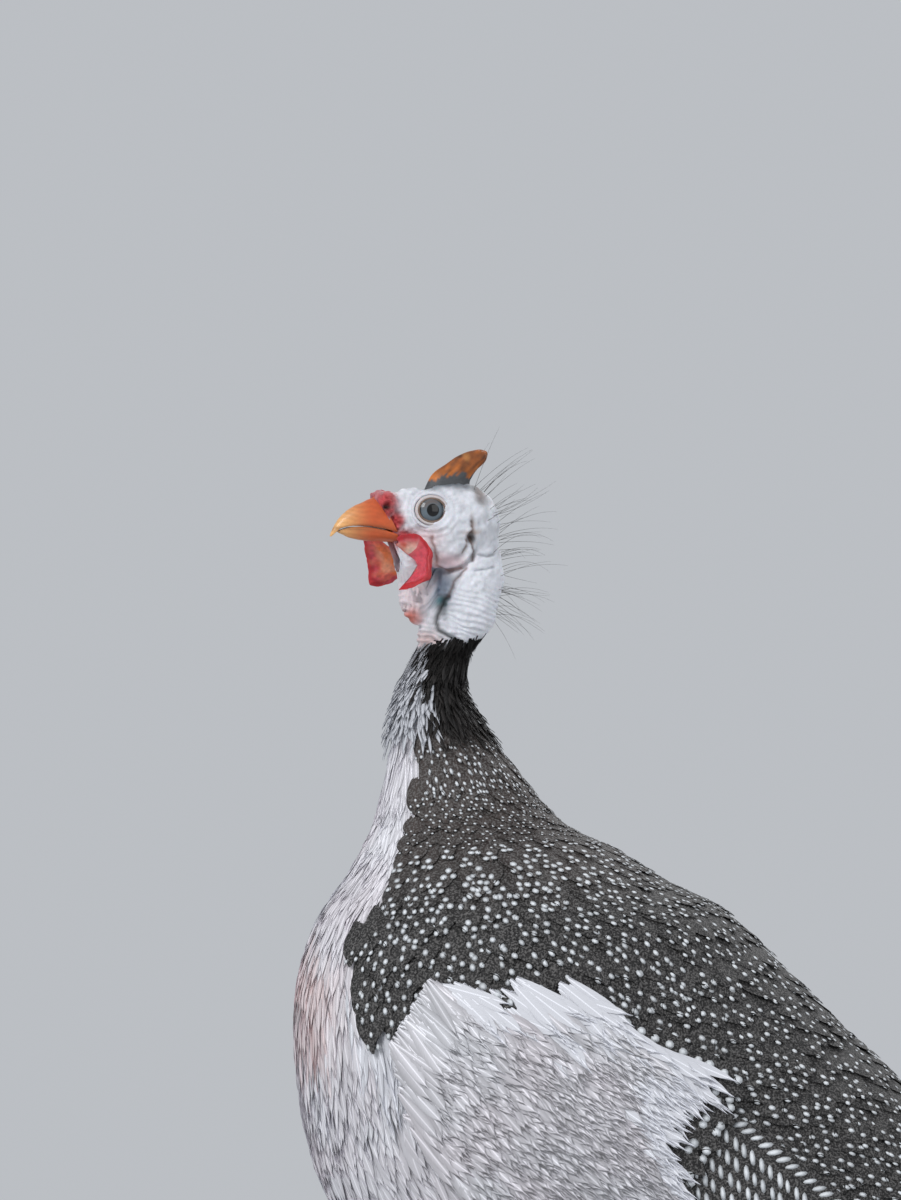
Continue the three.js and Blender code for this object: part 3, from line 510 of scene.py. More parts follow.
def limb(stations, ahead, squeeze=1.0):
    """Returns the form of a limb: rings square to a smooth path through stations of x, y, z and radius.
    around is 0 on the side that looks ahead, and nothing goes below the floor."""
    stations = np.asarray(stations, float)

    def form(index, around, extra=0.0):
        index, around, extra = np.broadcast_arrays(index, around, extra)
        here = spline(stations, index)
        way = unit(spline(stations, index + 0.04)[..., :3] - spline(stations, index - 0.04)[..., :3])
        first = unit(np.array(ahead) - way * (way @ np.array(ahead))[..., None])
        second = np.cross(first, way)
        radius = (here[..., 3] + extra)[..., None]
        point = here[..., :3] + radius * np.cos(around)[..., None] * first
        point = point + radius * squeeze * np.sin(around)[..., None] * second
        point[..., 2] = np.maximum(point[..., 2], 0)
        return point
    return form


thigh = limb([[-62, -36, 182, 28], [-46, -37, 158, 29.5], [-26, -36, 130, 21.5], [-8, -34, 107, 11],
              [2.8, -33, 94, 6.4]], (-1.0, 0.0, 0.0))
thigh_rings = thigh(np.linspace(0, 4, 40)[:, None], np.arange(48)[None, :] * 2 * np.pi / 48)
thigh_skin = tube(thigh_rings, rgb("#2a2827"))
skin_parts += [thigh_skin, mirrored(thigh_skin)]


def lid(opening, thick, out, colour, side):
    """A fold of skin round the eye: a ring whose radius swings between upper and lower lid, as thick as
    given, standing out from the side of the head."""
    angle = np.linspace(0, 2 * np.pi, 72, endpoint=False)[:, None]
    ring = ring_of(14)
    wave = 1 + 0.10 * np.sin(9 * angle + 1) * np.sin(14 * angle)
    radius = opening + 0.25 * np.cos(2 * angle) + thick * 1.15 * np.cos(ring)
    x = EYE[0] + radius * np.cos(angle)
    z = EYE[2] + (radius - 0.25) * np.sin(angle)
    y = out + 0.11 * (x - EYE[0]) - 0.05 * (z - EYE[2]) + thick * wave * np.sin(ring)
    points = turn(np.stack([x, side * y, z], -1) + HEAD)
    faces = tube_faces(73, 14)
    wall = faces[:2 * 72 * 14] % (72 * 14)
    flip = wall if side < 0 else wall[:, ::-1]
    return {"points": points.reshape(-1, 3), "faces": flip,
            "tint": np.broadcast_to(rgb(colour), (72 * 14, 4))}


for side in (-1, 1):
    skin_parts.append(lid(5.05, 0.42, 9.45, "#7d675a", side))
    skin_parts.append(lid(5.75, 0.55, 9.25, "#cfc6c6", side))
    skin_parts.append(lid(7.1, 0.60, 8.55, "#dcdce3", side))

skin_look = material("bare skin", tinted(0.84, 1.12, 700.0, 0.42, 0.66),
                     {"Subsurface Weight": 0.08, "Subsurface Scale": 0.001}, (0.8, 0.0004))
add_piece("skin", skin_parts, skin_look,
          ("head", "neck", "torso", "tail", "wing_left", "wing_right", "thigh_left", "thigh_right"))

# Eyes: a dark wet ball on each side of the head, with a smooth clear film over iris and pupil. Rings of
# skin, the lids, hold it.

eye_parts = []
for side in (-1, 1):
    polar = np.linspace(0.02, np.pi / 2, 44)[:, None]
    spin = ring_of(56)
    x = EYE[0] + 5.8 * np.sin(polar) * np.cos(spin)
    z = EYE[2] + 5.8 * np.sin(polar) * np.sin(spin)
    y = side * (EYE[1] + 4.4 * np.cos(polar)) + 0 * spin
    rings = turn(np.stack([x, y, z], -1) + HEAD)
    spoke = np.cos(26 * spin + 5 * np.sin(polar * 9))
    from_axis = 5.8 * np.sin(polar)
    iris = rgb("#66737c") * (1 + 0.16 * spoke)[..., None] * (1.15 - 0.07 * from_axis)[..., None]
    sector = smooth(np.sin(spin) - 0.3 * np.cos(spin), 0.0, 1.0)
    rusty = (0.5 * sector * ridge(from_axis, 3.4, 1.0))[..., None]
    iris = blend(iris, rgb("#6b4a34"), rusty)
    hole = (1 - smooth(from_axis, 2.35, 2.65))[..., None]
    rim = smooth(from_axis, 4.2, 4.8)[..., None]
    iris = blend(iris, rgb("#070708"), hole)
    iris = blend(iris, rgb("#15110f"), rim)
    ball = tube(rings, iris)
    if side < 0:
        ball["faces"] = ball["faces"][:, ::-1]
    eye_parts.append(ball)
eye_look = material("eye", tinted(0.9, 1.1, 2600.0, 0.05, 0.09),
                    {"Coat Weight": 0.4, "Coat Roughness": 0.02, "Specular IOR Level": 0.3}, (0.02, 0.0001))
add_piece("eyes", eye_parts, eye_look, ("eye_left", "eye_right"))

# Casque: the helmet that leans back from the crown, a sheath of dull amber horn on a bony core that grows
# from the skull.


def bladed(ribs, rings, sides, arched):
    """A form between two lines of x and z in the middle plane, with a half width along it. An oval has a
    round section; an arched one is round in front and flat along the rear line."""
    ribs = np.array(ribs)
    index = np.linspace(0, len(ribs) - 1, rings)[:, None]
    around = ring_of(sides)
    rib = spline(ribs, index + 0 * around)
    share = np.maximum(np.cos(around), 0) ** 0.9 if arched else (1 + np.cos(around)) / 2
    share = (share + 0 * index)[..., None]
    place = blend(rib[..., 2:4], rib[..., 0:2], share)
    return np.stack([place[..., 0], rib[..., 4] * np.sin(around), place[..., 1]], -1)


casque_form = bladed([[-13.5, 13.5, 7.0, 10.5, 5.0], [-9.6, 21.3, 5.8, 17.6, 4.1],
                      [-3.9, 25.6, 6.8, 20.6, 3.5],
                      [2.7, 29.7, 9.0, 23.6, 2.9], [9.2, 31.4, 12.2, 26.6, 2.3],
                      [12.4, 31.1, 13.3, 29.4, 1.0]], 60, 48, False)
lengthwise = 0.75 * casque_form[..., 0] + 0.66 * casque_form[..., 2]
crosswise = 0.66 * casque_form[..., 0] - 0.75 * casque_form[..., 2]
streak = mottle(np.stack([0.4 * lengthwise, 1.1 * casque_form[..., 1], 1.2 * crosswise], -1), 1.3, 41)
tall = smooth(casque_form[..., 2] + 0.2 * casque_form[..., 0], 13.5, 30)
foot_band = 1 - smooth(casque_form[..., 2] - 0.1 * casque_form[..., 0] + 2.2 * streak, 20.6, 21.6)
casque_form = casque_form + (0.3 * streak + 0.3 * mottle(casque_form, 2.2, 42))[..., None] * [0.4, 0.8, 0.4]
horn = rgb("#b8671f") * (1 - tall[..., None]) + rgb("#8a4a18") * tall[..., None]
horn = horn * (1 + 0.55 * streak + 0.3 * mottle(casque_form, 1.8, 43))[..., None]
worn = (0.5 * smooth(mottle(casque_form, 4.0, 44), 0.1, 0.7))[..., None]
horn = blend(horn, rgb("#c98a4a"), worn)
horn = blend(horn, rgb("#46484b"), foot_band[..., None])
casque_look = material("casque horn", tinted(0.82, 1.15, 900.0, 0.42, 0.62), {}, (0.5, 0.0003))
add_piece("casque_horn", [tube(turn(casque_form + HEAD), horn)], casque_look, ("casque",))

# Bill: two jaws, each a sheath of orange horn with a paler tip on bone. They are rooted in the face and
# shut along the line of the mouth.

upper_form = bladed([[-32.6, 13.0, -25.4, -0.9, 6.6], [-37.5, 10.9, -31.5, 0.5, 5.6],
                     [-41.0, 9.4, -37.5, 1.5, 4.7], [-44.5, 7.2, -43.0, 1.4, 3.6],
                     [-47.6, 4.2, -47.0, 0.6, 2.5], [-50.0, 0.4, -48.9, -1.0, 1.4],
                     [-51.2, -2.5, -50.7, -2.7, 0.4]], 64, 48, True)
lower_form = bladed([[-24.0, -4.9, -25.5, -1.7, 6.0], [-30.5, -4.6, -31.5, 0.1, 5.2],
                     [-37.0, -4.3, -37.5, 1.1, 4.2], [-42.6, -3.3, -43.0, 1.0, 3.0],
                     [-46.6, -1.7, -46.8, 0.0, 1.7], [-48.0, -0.9, -48.0, -0.7, 0.5]], 56, 40, True)
bill_look = material("bill horn", tinted(0.88, 1.1, 800.0, 0.26, 0.42), {"Coat Weight": 0.15},
                     (0.25, 0.0002))
for node, form in (("bill_upper", upper_form), ("bill_lower", lower_form)):
    ahead = smooth(-form[..., 0], 34, 50)[..., None]
    colour = blend(rgb("#c4582a"), rgb("#e6b070"), ahead)
    line = np.sin(form[..., 2] * 3.4 + 0.5 * form[..., 0] + 2 * mottle(form, 5.0, 46))
    colour = colour * (1 + 0.07 * line + 0.08 * mottle(form, 1.8, 45))[..., None]
    edge = (0.55 * ridge(form[..., 2], 0.4, 0.8))[..., None]
    colour = blend(colour, rgb("#8c5a34"), edge)
    form = form + (0.05 * line + 0.08 * mottle(form, 2.0, 47))[..., None] * [0, 0.6, 0.8]
    add_piece(node + "_horn", [tube(turn(form + HEAD), colour)], bill_look, (node,))

# Wattles: a cupped lobe of red skin hangs from each corner of the mouth, its rim thick, its hollow paler.
# The near one is seen from outside and the far one from inside, so each has its own lines.

WATTLE_ROOT = np.array([[-26.5, 6.4, -5.8], [-22.0, 6.6, -9.5], [-17.0, 6.4, -13.0]])
WATTLE_RIM = np.array([[-26.5, 8.6, -3.2], [-20.0, 13.2, -1.6], [-15.4, 16.2, -8.0], [-16.8, 18.4, -16.5],
                       [-22.5, 18.6, -21.8], [-28.6, 17.6, -23.4]])
FAR_ROOT = np.array([[-29.0, 6.8, -3.5], [-23.0, 6.7, -8.0], [-17.0, 6.4, -13.0]])
FAR_RIM = np.array([[-34.0, 11.6, -3.5], [-32.6, 14.0, -8.6], [-30.4, 16.0, -15.4], [-30.0, 17.0, -21.0],
                    [-24.5, 16.6, -21.5], [-18.5, 14.0, -16.0]])
WATTLE_ROOTS = {-1: WATTLE_ROOT, 1: FAR_ROOT}
WATTLE_RIMS = {-1: WATTLE_RIM, 1: FAR_RIM}


def wattle(side):
    """A cup between the root line and the rim line. The section of each strip from front to back is an
    oval round that cup's middle surface, swollen near the rim."""
    along = np.linspace(0, 1, 72)[:, None]
    around = ring_of(72)
    across = (1 - np.cos(around)) / 2
    face = np.sin(around)
    t = along + 0 * around
    root = spline(WATTLE_ROOTS[side], 2 * t)
    rim = spline(WATTLE_RIMS[side], 5 * t)
    point = root + (rim - root) * across[..., None]
    hollow = 3.2 * np.sin(np.pi * across) * np.sin(np.pi * (0.1 + 0.8 * along))
    ends = np.sqrt(np.clip(np.sin(np.pi * np.clip(along, 0.004, 0.996)), 0, 1)) ** 0.5
    swell = (0.75 + 1.0 * smooth(across, 0.45, 0.9)) * ends
    wrinkle = 0.9 * mottle(point, 3.4, 50) + 0.5 * mottle(point, 1.9, 51) + 0.2 * mottle(point, 1.0, 52)
    wrinkle = wrinkle * ends
    cup = unit(np.array([0.75, 0.45, -0.5]))
    point = point + cup * (hollow + face * swell + wrinkle)[..., None]
    edge = smooth(across + 0.06 * mottle(point, 2.2, 53), 0.72, 0.9)[..., None]
    inner = smooth(-side * face + 0.3 * mottle(point, 2.0, 58), -0.2, 0.9)
    inner = inner * (1 - smooth(across + 0.2 * mottle(point, 2.5, 57), 0.3, 0.95))
    inner = (0.85 * inner * (1 - 0.75 * smooth(point[..., 2], -9, -3)))[..., None]
    colour = blend(rgb("#cc4a58"), rgb("#b3202a"), edge)
    cream = rgb("#e2c7b2") * (1 + 0.2 * mottle(point, 1.5, 54))[..., None]
    flush = smooth(mottle(point, 3.0, 55), -0.1, 0.6)[..., None]
    cream = blend(cream, rgb("#dd7a4e"), flush)
    if side > 0:
        cream = blend(rgb("#ea8434"), rgb("#e2c7b2"), 0.4 * flush)
    colour = blend(colour, cream, inner)
    colour = colour * (1 + 0.22 * mottle(point, 1.0, 56))[..., None]
    part = tube(turn(point * [1, side, 1] + HEAD), colour)
    if side < 0:
        part["faces"] = part["faces"][:, ::-1]
    return part


def facing_out(part):
    """The part with its triangles turned, if its signed volume shows that they face inwards."""
    a, b, c = (part["points"][part["faces"][:, i]] for i in range(3))
    inwards = np.einsum("ij,ij->i", a - a.mean(0), np.cross(b - a.mean(0), c - a.mean(0))).sum() < 0
    return {**part, "faces": part["faces"][:, ::-1]} if inwards else part


wattle_look = material("wattle skin", tinted(0.8, 1.15, 900.0, 0.3, 0.5),
                       {"Subsurface Weight": 0.2, "Subsurface Scale": 0.002}, (0.6, 0.0003))
add_piece("wattles", [facing_out(wattle(-1)), facing_out(wattle(1))], wattle_look,
          ("wattle_left", "wattle_right"))

# Legs: bare shanks, feet and toes in slate-grey scales over bone, with broad scutes in front, small scales
# behind and soft pads below. The toes' flats stand on the floor.


def scaled(form, last, rings, sides, pitch, length):
    """A limb's tube with scutes: bands with rounded backs a pitch apart on the side around 0, and small
    bumps on the other side."""
    index = np.linspace(0, last, rings)[:, None]
    around = ring_of(sides)
    plain = form(index, around)
    front = smooth(np.cos(around), -0.15, 0.35)
    phase = index / last * length / pitch + 0.12 * np.cos(around)
    band = np.abs(np.sin(np.pi * phase)) ** 0.45
    bumps = smooth(mottle(plain, 1.3, 61), -0.3, 0.5)
    height = front * band + (1 - front) * bumps
    rings_made = form(index, around, 0.42 * height - 0.3)
    # Painted shade: the colour is darker in the grooves between scutes and scales and lighter on their raised
    # backs.
    colour = rgb("#4b4644") * (0.62 + 0.5 * height)[..., None]
    warm = (0.35 * smooth(mottle(plain, 5.0, 62), 0.0, 0.7))[..., None]
    colour = blend(colour, rgb("#8f5a38"), warm)
    return tube(rings_made, colour)


# x and y of the left foot's middle, the distance from it at which a toe's length begins, and a claw's length.
FOOT = (-17, -33)
TOE_START = 15
CLAW_LENGTH = 10.5
# Stations of a claw: share of its length, height and radius.
CLAW_SHAPE = ((-0.2, 3.3, 2.7), (0, 3.4, 2.9), (0.4, 3.5, 2.3), (0.75, 2.6, 1.4), (1, 1, 0.4))


def toe_place(heading, distance):
    """x and y at a distance from the foot's middle along a heading in degrees."""
    angle = math.radians(heading)
    return FOOT[0] - distance * math.cos(angle), FOOT[1] - distance * math.sin(angle)


def toe_stations(heading, length, lift, ends):
    """Stations along a toe at those distances from the foot's middle, with a swelling at each joint."""
    made = []
    for distance in ends:
        share = distance / (TOE_START + length)
        radius = 4.3 * (1 - 0.22 * share) + 0.35 * math.cos(2 * math.pi * distance / 11.5)
        made.append([*toe_place(heading, distance), 3.6 + lift * (1 - share), radius])
    return made


shank = limb([[3.2, -33, 93.6, 6.6], [4.5, -33, 87, 6.8], [1.5, -33, 74, 4.7], [-5.5, -33, 48, 4.2],
              [-9.4, -33, 27, 4.4], [-12.8, -33, 15.4, 4.8], [-16.0, -33, 7.0, 5.6], [-17.5, -33, 2.0, 5.6]],
             (-1.0, 0.0, 0.0), 0.88)
leg_parts = [scaled(shank, 7, 220, 48, 3.3, 95)]
claw_parts = []
for heading, length, lift in ((-30, 35, 0.0), (3, 49, 0.0), (37, 38, 0.0), (174, 15, 3.2)):
    toe = limb(toe_stations(heading, length, lift, np.linspace(0, TOE_START + length, 12)), (0.0, 0.0, 1.0))
    leg_parts.append(scaled(toe, 11, 120, 36, 3.0, TOE_START + length))
    size = 0.75 if heading > 90 else 1.0
    stations = [[*toe_place(heading, TOE_START + length + CLAW_LENGTH * size * share), height, radius * size]
                for share, height, radius in CLAW_SHAPE]
    claw = limb(stations, (0.0, 0.0, 1.0), 0.8)
    rings = claw(np.linspace(0, 4, 40)[:, None], ring_of(24))
    dark = rgb("#2b2624") * (1 + 0.2 * mottle(rings, 1.5, 63))[..., None]
    claw_parts.append(tube(rings, dark))
leg_look = material("leg scales", tinted(0.84, 1.12, 900.0, 0.45, 0.65), {}, (0.4, 0.0003))
claw_look = material("claw horn", tinted(0.8, 1.2, 900.0, 0.3, 0.45), {}, (0.3, 0.0002))
toe_names = ("inner", "middle", "outer", "back")
claw_nodes = [f"claw_{toe}_{side}" for side in ("left", "right") for toe in toe_names]
leg_nodes = [f"{part}_{side}" for side in ("left", "right") for part in ("shank", "foot")]
leg_nodes += [f"toe_{toe}_{side}" for side in ("left", "right") for toe in toe_names]
add_piece("legs", leg_parts + [mirrored(p) for p in leg_parts], leg_look, leg_nodes)
add_piece("claws", claw_parts + [mirrored(p) for p in claw_parts], claw_look, claw_nodes)

# Body feathers: overlapping vanes rooted in the skin of neck and trunk that lie back towards the tail.
# Dark ones carry pale pearls; the white ones of breast, flank and belly are narrow and pointed.


def vane_width(s, tip):
    """Share of the widest half width: three tenths at the quill, full past the middle, tip at the end."""
    widening = 0.3 + 0.7 * np.sin(np.pi / 2 * np.minimum(s / 0.55, 1))
    return widening - (1 - tip) * np.clip((s - 0.55) / 0.45, 0, 1) ** 2


def vane_height(s, u, f):
    """Height of a vane over the form: from its root up by lift, domed by cup, and tilted by roll."""
    return f["root"] + f["lift"] * s ** 0.8 + f["cup"] * (1 - u * u) * np.sin(np.pi * s) + f["roll"] * u * s


def vane_faces(rows, columns):
    """Triangles of a thin closed plate: an upper grid, and a lower one that shares its rim."""
    upper = np.arange(rows * columns).reshape(rows, columns)
    lower = upper.copy()
    inner = (rows - 2) * (columns - 2)
    lower[1:-1, 1:-1] = rows * columns + np.arange(inner).reshape(rows - 2, columns - 2)

    def cut(grid):
        a, b, c, d = grid[:-1, :-1], grid[1:, :-1], grid[1:, 1:], grid[:-1, 1:]
        first = np.stack([a, b, c], -1).reshape(-1, 3)
        return np.concatenate([first, np.stack([a, c, d], -1).reshape(-1, 3)])
    return np.concatenate([cut(upper), cut(lower)[:, ::-1]])


def shaped(count, **values):
    """The measures of count feathers, each one number or one for each feather, ready for grids."""
    measures = {"tip": 0.25, "root": -2.6, "lift": 3.3, "cup": 0.5, "roll": 0.0, "rag": 0.03, **values}
    full = {k: np.broadcast_to(np.asarray(v, float), (count,)) for k, v in measures.items()}
    return {k: v.reshape(-1, 1, 1) for k, v in full.items()}


def grow(surface, f, rows, columns, tint, bake, seed, edge=0.25):
    """Feathers as thin closed vanes. surface(along, side, height) places them, f holds their measures,
    tint their colours, and bake the place of each root on the unwrap."""
    draw = np.random.default_rng(seed)
    count = len(f["length"])
    s = np.linspace(0, 1, rows)[None, :, None]
    u = np.linspace(-1, 1, columns)[None, None, :]
    ragged = draw.uniform(-1, 1, (count, 1, columns)) * f["rag"]
    along = f["length"] * s * (1 - 0.12 * u * u * s ** 3 + ragged * s ** 2)
    side = f["half"] * vane_width(s, f["tip"]) * u
    top = vane_height(s, u, f)
    inner = (slice(None), slice(1, -1), slice(1, -1))
    under = (top - 0.18)[inner]
    upper_points = surface(along, side, top).reshape(count, -1, 3)
    lower_points = surface(along[inner], side[inner], under).reshape(count, -1, 3)
    rim = np.zeros((rows, columns), bool)
    rim[[0, -1], :] = True
    rim[:, [0, -1]] = True
    size = rows * columns + (rows - 2) * (columns - 2)
    darker = (1 - edge * np.abs(u) ** 3 - 0.5 * edge * (s > 0.9)) + 0 * along
    random = draw.uniform(0, 1, (count, 1, 1)) + 0 * along

    def both(values):
        """The values of the upper grid's points and then those of the lower grid's own points."""
        return np.concatenate([values.reshape(count, -1), values[inner].reshape(count, -1)], axis=1).ravel()
    colours = np.repeat(tint, size, axis=0)
    colours = np.concatenate([colours[:, :3] * both(darker)[:, None], colours[:, 3:]], axis=1)
    patch_u = both(0.003 * (u / 2 + 0 * along)) + np.repeat(bake[:, 0], size)
    patch_v = both(0.003 * (s - 0.5 + 0 * along)) + np.repeat(bake[:, 1], size)
    faces = vane_faces(rows, columns)[None] + (np.arange(count) * size)[:, None, None]
    return {
        "points": np.concatenate([upper_points, lower_points], axis=1).reshape(-1, 3),
        "faces": faces.reshape(-1, 3),
        "tint": colours,
        "web": np.stack([both(side), both(along), both(random)], -1),
        "bake": np.stack([patch_u, patch_v], -1),
        "rim": np.tile(np.append(rim.ravel(), np.zeros(size - rows * columns, bool)), count),
    }


def pearls(surface, f, along, side, long, wide, slant, tint, bake):
    """Spots of clear white web on feathers: low eight-sided lenses, one for each feather in f."""
    turn_round = np.arange(8) * np.pi / 4
    da = np.append(np.cos(turn_round), [0, 0])[None, None, :] * np.reshape(long, (-1, 1, 1))
    ds = np.append(np.sin(turn_round), [0, 0])[None, None, :] * np.reshape(wide, (-1, 1, 1))
    lean = np.reshape(slant, (-1, 1, 1))
    at = np.reshape(along, (-1, 1, 1)) + da * np.cos(lean) - ds * np.sin(lean)
    over = np.reshape(side, (-1, 1, 1)) + da * np.sin(lean) + ds * np.cos(lean)
    s = np.clip(at / f["length"], 0, 1)
    u = np.clip(over / (f["half"] * vane_width(s, f["tip"])), -1, 1)
    out = np.array([0.04] * 8 + [0.2, -0.12])[None, None, :]
    points = surface(at, over, vane_height(s, u, f) + out)
    count = len(f["length"])
    k = np.arange(8)
    top = np.stack([k, (k + 1) % 8, 0 * k + 8], -1)
    low = np.stack([(k + 1) % 8, k, 0 * k + 9], -1)
    faces = np.concatenate([top, low])[None] + (np.arange(count) * 10)[:, None, None]
    crossways = np.append(np.sin(turn_round), [0, 0])
    patch = 0.0015 * np.stack([crossways, np.append(np.cos(turn_round), [0, 0])], -1)
    return {
        "points": points.reshape(-1, 3),
        "faces": faces.reshape(-1, 3),
        "tint": np.repeat(tint, 10, axis=0),
        "web": np.zeros((count * 10, 3)),
        "bake": (bake[:, None] + patch[None]).reshape(-1, 2),
    }


def lay(form, index, around, lean):
    """Returns the function that lays feathers on a form from roots at these places: lengths along its
    ribs and round it become steps of the form's own measures."""
    index, around, lean = (np.reshape(v, (-1, 1, 1)) for v in (index, around, lean))
    here = form(index, around)
    pace = np.linalg.norm(form(index + 0.2, around) - form(index - 0.2, around), axis=-1) / 0.4
    girth = np.linalg.norm(form(index, around + 0.04) - here, axis=-1) / 0.04
    pace = np.maximum(pace, 4.0)
    girth = np.maximum(girth, 4.0)

    def surface(along, side, height):
        return form(index + along / pace, around + (side + lean * along) / girth, height)
    return surface


def roots_on(form, start, end, lines, gap, seed):
    """Feather roots on lines along a form, a gap apart, every second line moved half a gap. Returns their
    index and around, and the space between two lines there."""
    draw = np.random.default_rng(seed)
    fine = np.linspace(start, end, 240)
    made = []
    for line in range(lines):
        around = 2 * np.pi * (line + 0.5) / lines
        steps = np.linalg.norm(np.diff(form(fine, np.full(240, around)), axis=0), axis=-1)
        length = np.append(0, np.cumsum(steps))
        at = np.arange((line % 2) * gap / 2, length[-1], gap)
        at = at + draw.normal(0, 0.08 * gap, at.shape)
        where = around + draw.normal(0, 0.10, at.shape) * 2 * np.pi / lines
        made.append(np.stack([np.interp(at, length, fine), where], -1))
    index, around = np.concatenate(made).T
    step = form(index, around + 0.04) - form(index, around - 0.04)
    return index, around, np.linalg.norm(step, axis=-1) / 0.08 * 2 * np.pi / lines


# The folded wing: x and z of its wrist, its slope, and its outline as along, lower edge and upper edge.
WRIST = (-112, 230)
WING_SLOPE = math.radians(30)
WING_OUTLINE = np.array([[-6, 4, 14], [8, -18, 38], [50, -30, 52], [100, -30, 54], [140, -20, 46],
                         [166, 4, 30]])


def wing_edges(along):
    """Lower and upper edge of the folded wing at a distance behind its wrist."""
    return (np.interp(along, WING_OUTLINE[:, 0], WING_OUTLINE[:, edge]) for edge in (1, 2))


def on_wing(points):
    """Whether a place on the trunk is covered by the folded wing: inside its outline seen from the side."""
    dx = points[..., 0] - WRIST[0]
    dz = points[..., 2] - WRIST[1]
    along = dx * math.cos(WING_SLOPE) - dz * math.sin(WING_SLOPE)
    across = dx * math.sin(WING_SLOPE) + dz * math.cos(WING_SLOPE)
    low, high = wing_edges(along)
    inside = (across > low + 6) & (across < high - 10) & (along > 8) & (along < 135)
    return inside & (np.abs(points[..., 1]) > 30)


def feather_barbs():
    """Node group: fine lines of barbs that run out and forward from the shaft of each vane, and the
    shaft itself, from the web attribute, which holds side and along in millimetres."""
    group = bpy.data.node_groups.new("feather_barbs", "ShaderNodeTree")
    group.interface.new_socket("Lines", in_out="OUTPUT", socket_type="NodeSocketFloat")
    group.interface.new_socket("Shaft", in_out="OUTPUT", socket_type="NodeSocketFloat")
    web = add_node(group, "ShaderNodeAttribute", attribute_name="web").outputs["Vector"]
    split = add_node(group, "ShaderNodeSeparateXYZ", {0: web})
    away = add_node(group, "ShaderNodeMath", {0: split.outputs[0]}, operation="ABSOLUTE").outputs[0]
    slope = add_node(group, "ShaderNodeMath", {0: away, 1: -1.3, 2: split.outputs[1]},
                     operation="MULTIPLY_ADD").outputs[0]
    wander = noise(group, 500.0, 2.0)
    phase = add_node(group, "ShaderNodeMath", {0: wander, 1: 1.6, 2: slope}, operation="MULTIPLY_ADD")
    angle = add_node(group, "ShaderNodeMath", {0: phase.outputs[0], 1: 9.0}, operation="MULTIPLY")
    wave = add_node(group, "ShaderNodeMath", {0: angle.outputs[0]}, operation="SINE")
    lines = add_node(group, "ShaderNodeMapRange", {"Value": wave.outputs[0], "From Min": -1.0})
    shaft = add_node(group, "ShaderNodeMapRange", {"Value": away, "From Min": 0.12, "From Max": 0.34,
                                                   "To Min": 1.0, "To Max": 0.0})
    ends = group.nodes.new("NodeGroupOutput")
    group.links.new(lines.outputs[0], ends.inputs[0])
    group.links.new(shaft.outputs[0], ends.inputs[1])
    return group


BARBS = feather_barbs()


def feathery(tree):
    """The recipe of the feather material: the painted colour, darkened between barbs, freckled with fine
    wavy grey where the paint's alpha asks for it, and with a paler shaft."""
    paint = add_node(tree, "ShaderNodeAttribute", attribute_name="tint")
    barbs = tree.nodes.new("ShaderNodeGroup")
    barbs.node_tree = BARBS
    colour = shade(tree, paint.outputs["Color"], barbs.outputs["Lines"], 0.86, 1.1)
    speckle = add_node(tree, "ShaderNodeMapRange", {"Value": noise(tree, 1300.0, 3.0), "From Min": 0.47,
                                                    "From Max": 0.6, "To Max": 0.72})
    share = add_node(tree, "ShaderNodeMath", {0: speckle.outputs[0], 1: paint.outputs["Alpha"]},
                     operation="MULTIPLY")
    grey = (*rgb("#6c6a69")[:3], 1.0)
    colour = add_node(tree, "ShaderNodeMix", {0: share.outputs[0], 6: colour, 7: grey}, data_type="RGBA")
    colour = shade(tree, colour.outputs[2], barbs.outputs["Shaft"], 1.0, 1.35)
    rough = add_node(tree, "ShaderNodeMapRange", {"Value": barbs.outputs["Lines"], "To Min": 0.5,
                                                  "To Max": 0.72})
    height = add_node(tree, "ShaderNodeMath", {0: barbs.outputs["Shaft"], 1: 1.5,
                                               2: barbs.outputs["Lines"]}, operation="MULTIPLY_ADD")
    return colour, rough.outputs[0], height.outputs[0]


feather_look = material("feather", feathery, {"Specular IOR Level": 0.35}, (0.5, 0.0002))
down_look = material("pale down", feathery, {"Specular IOR Level": 0.2}, (0.2, 0.0002))
pearl_look = material("pearl web", tinted(0.9, 1.08, 1400.0, 0.5, 0.65), {}, (0.3, 0.0001))


def unwrapped(index, around):
    """Places on the unwrap of the trunk: across it is around, and up it is the rib index."""
    return np.stack([0.02 + 0.96 * (around / (2 * np.pi) % 1), 0.02 + 0.068 * index], -1)


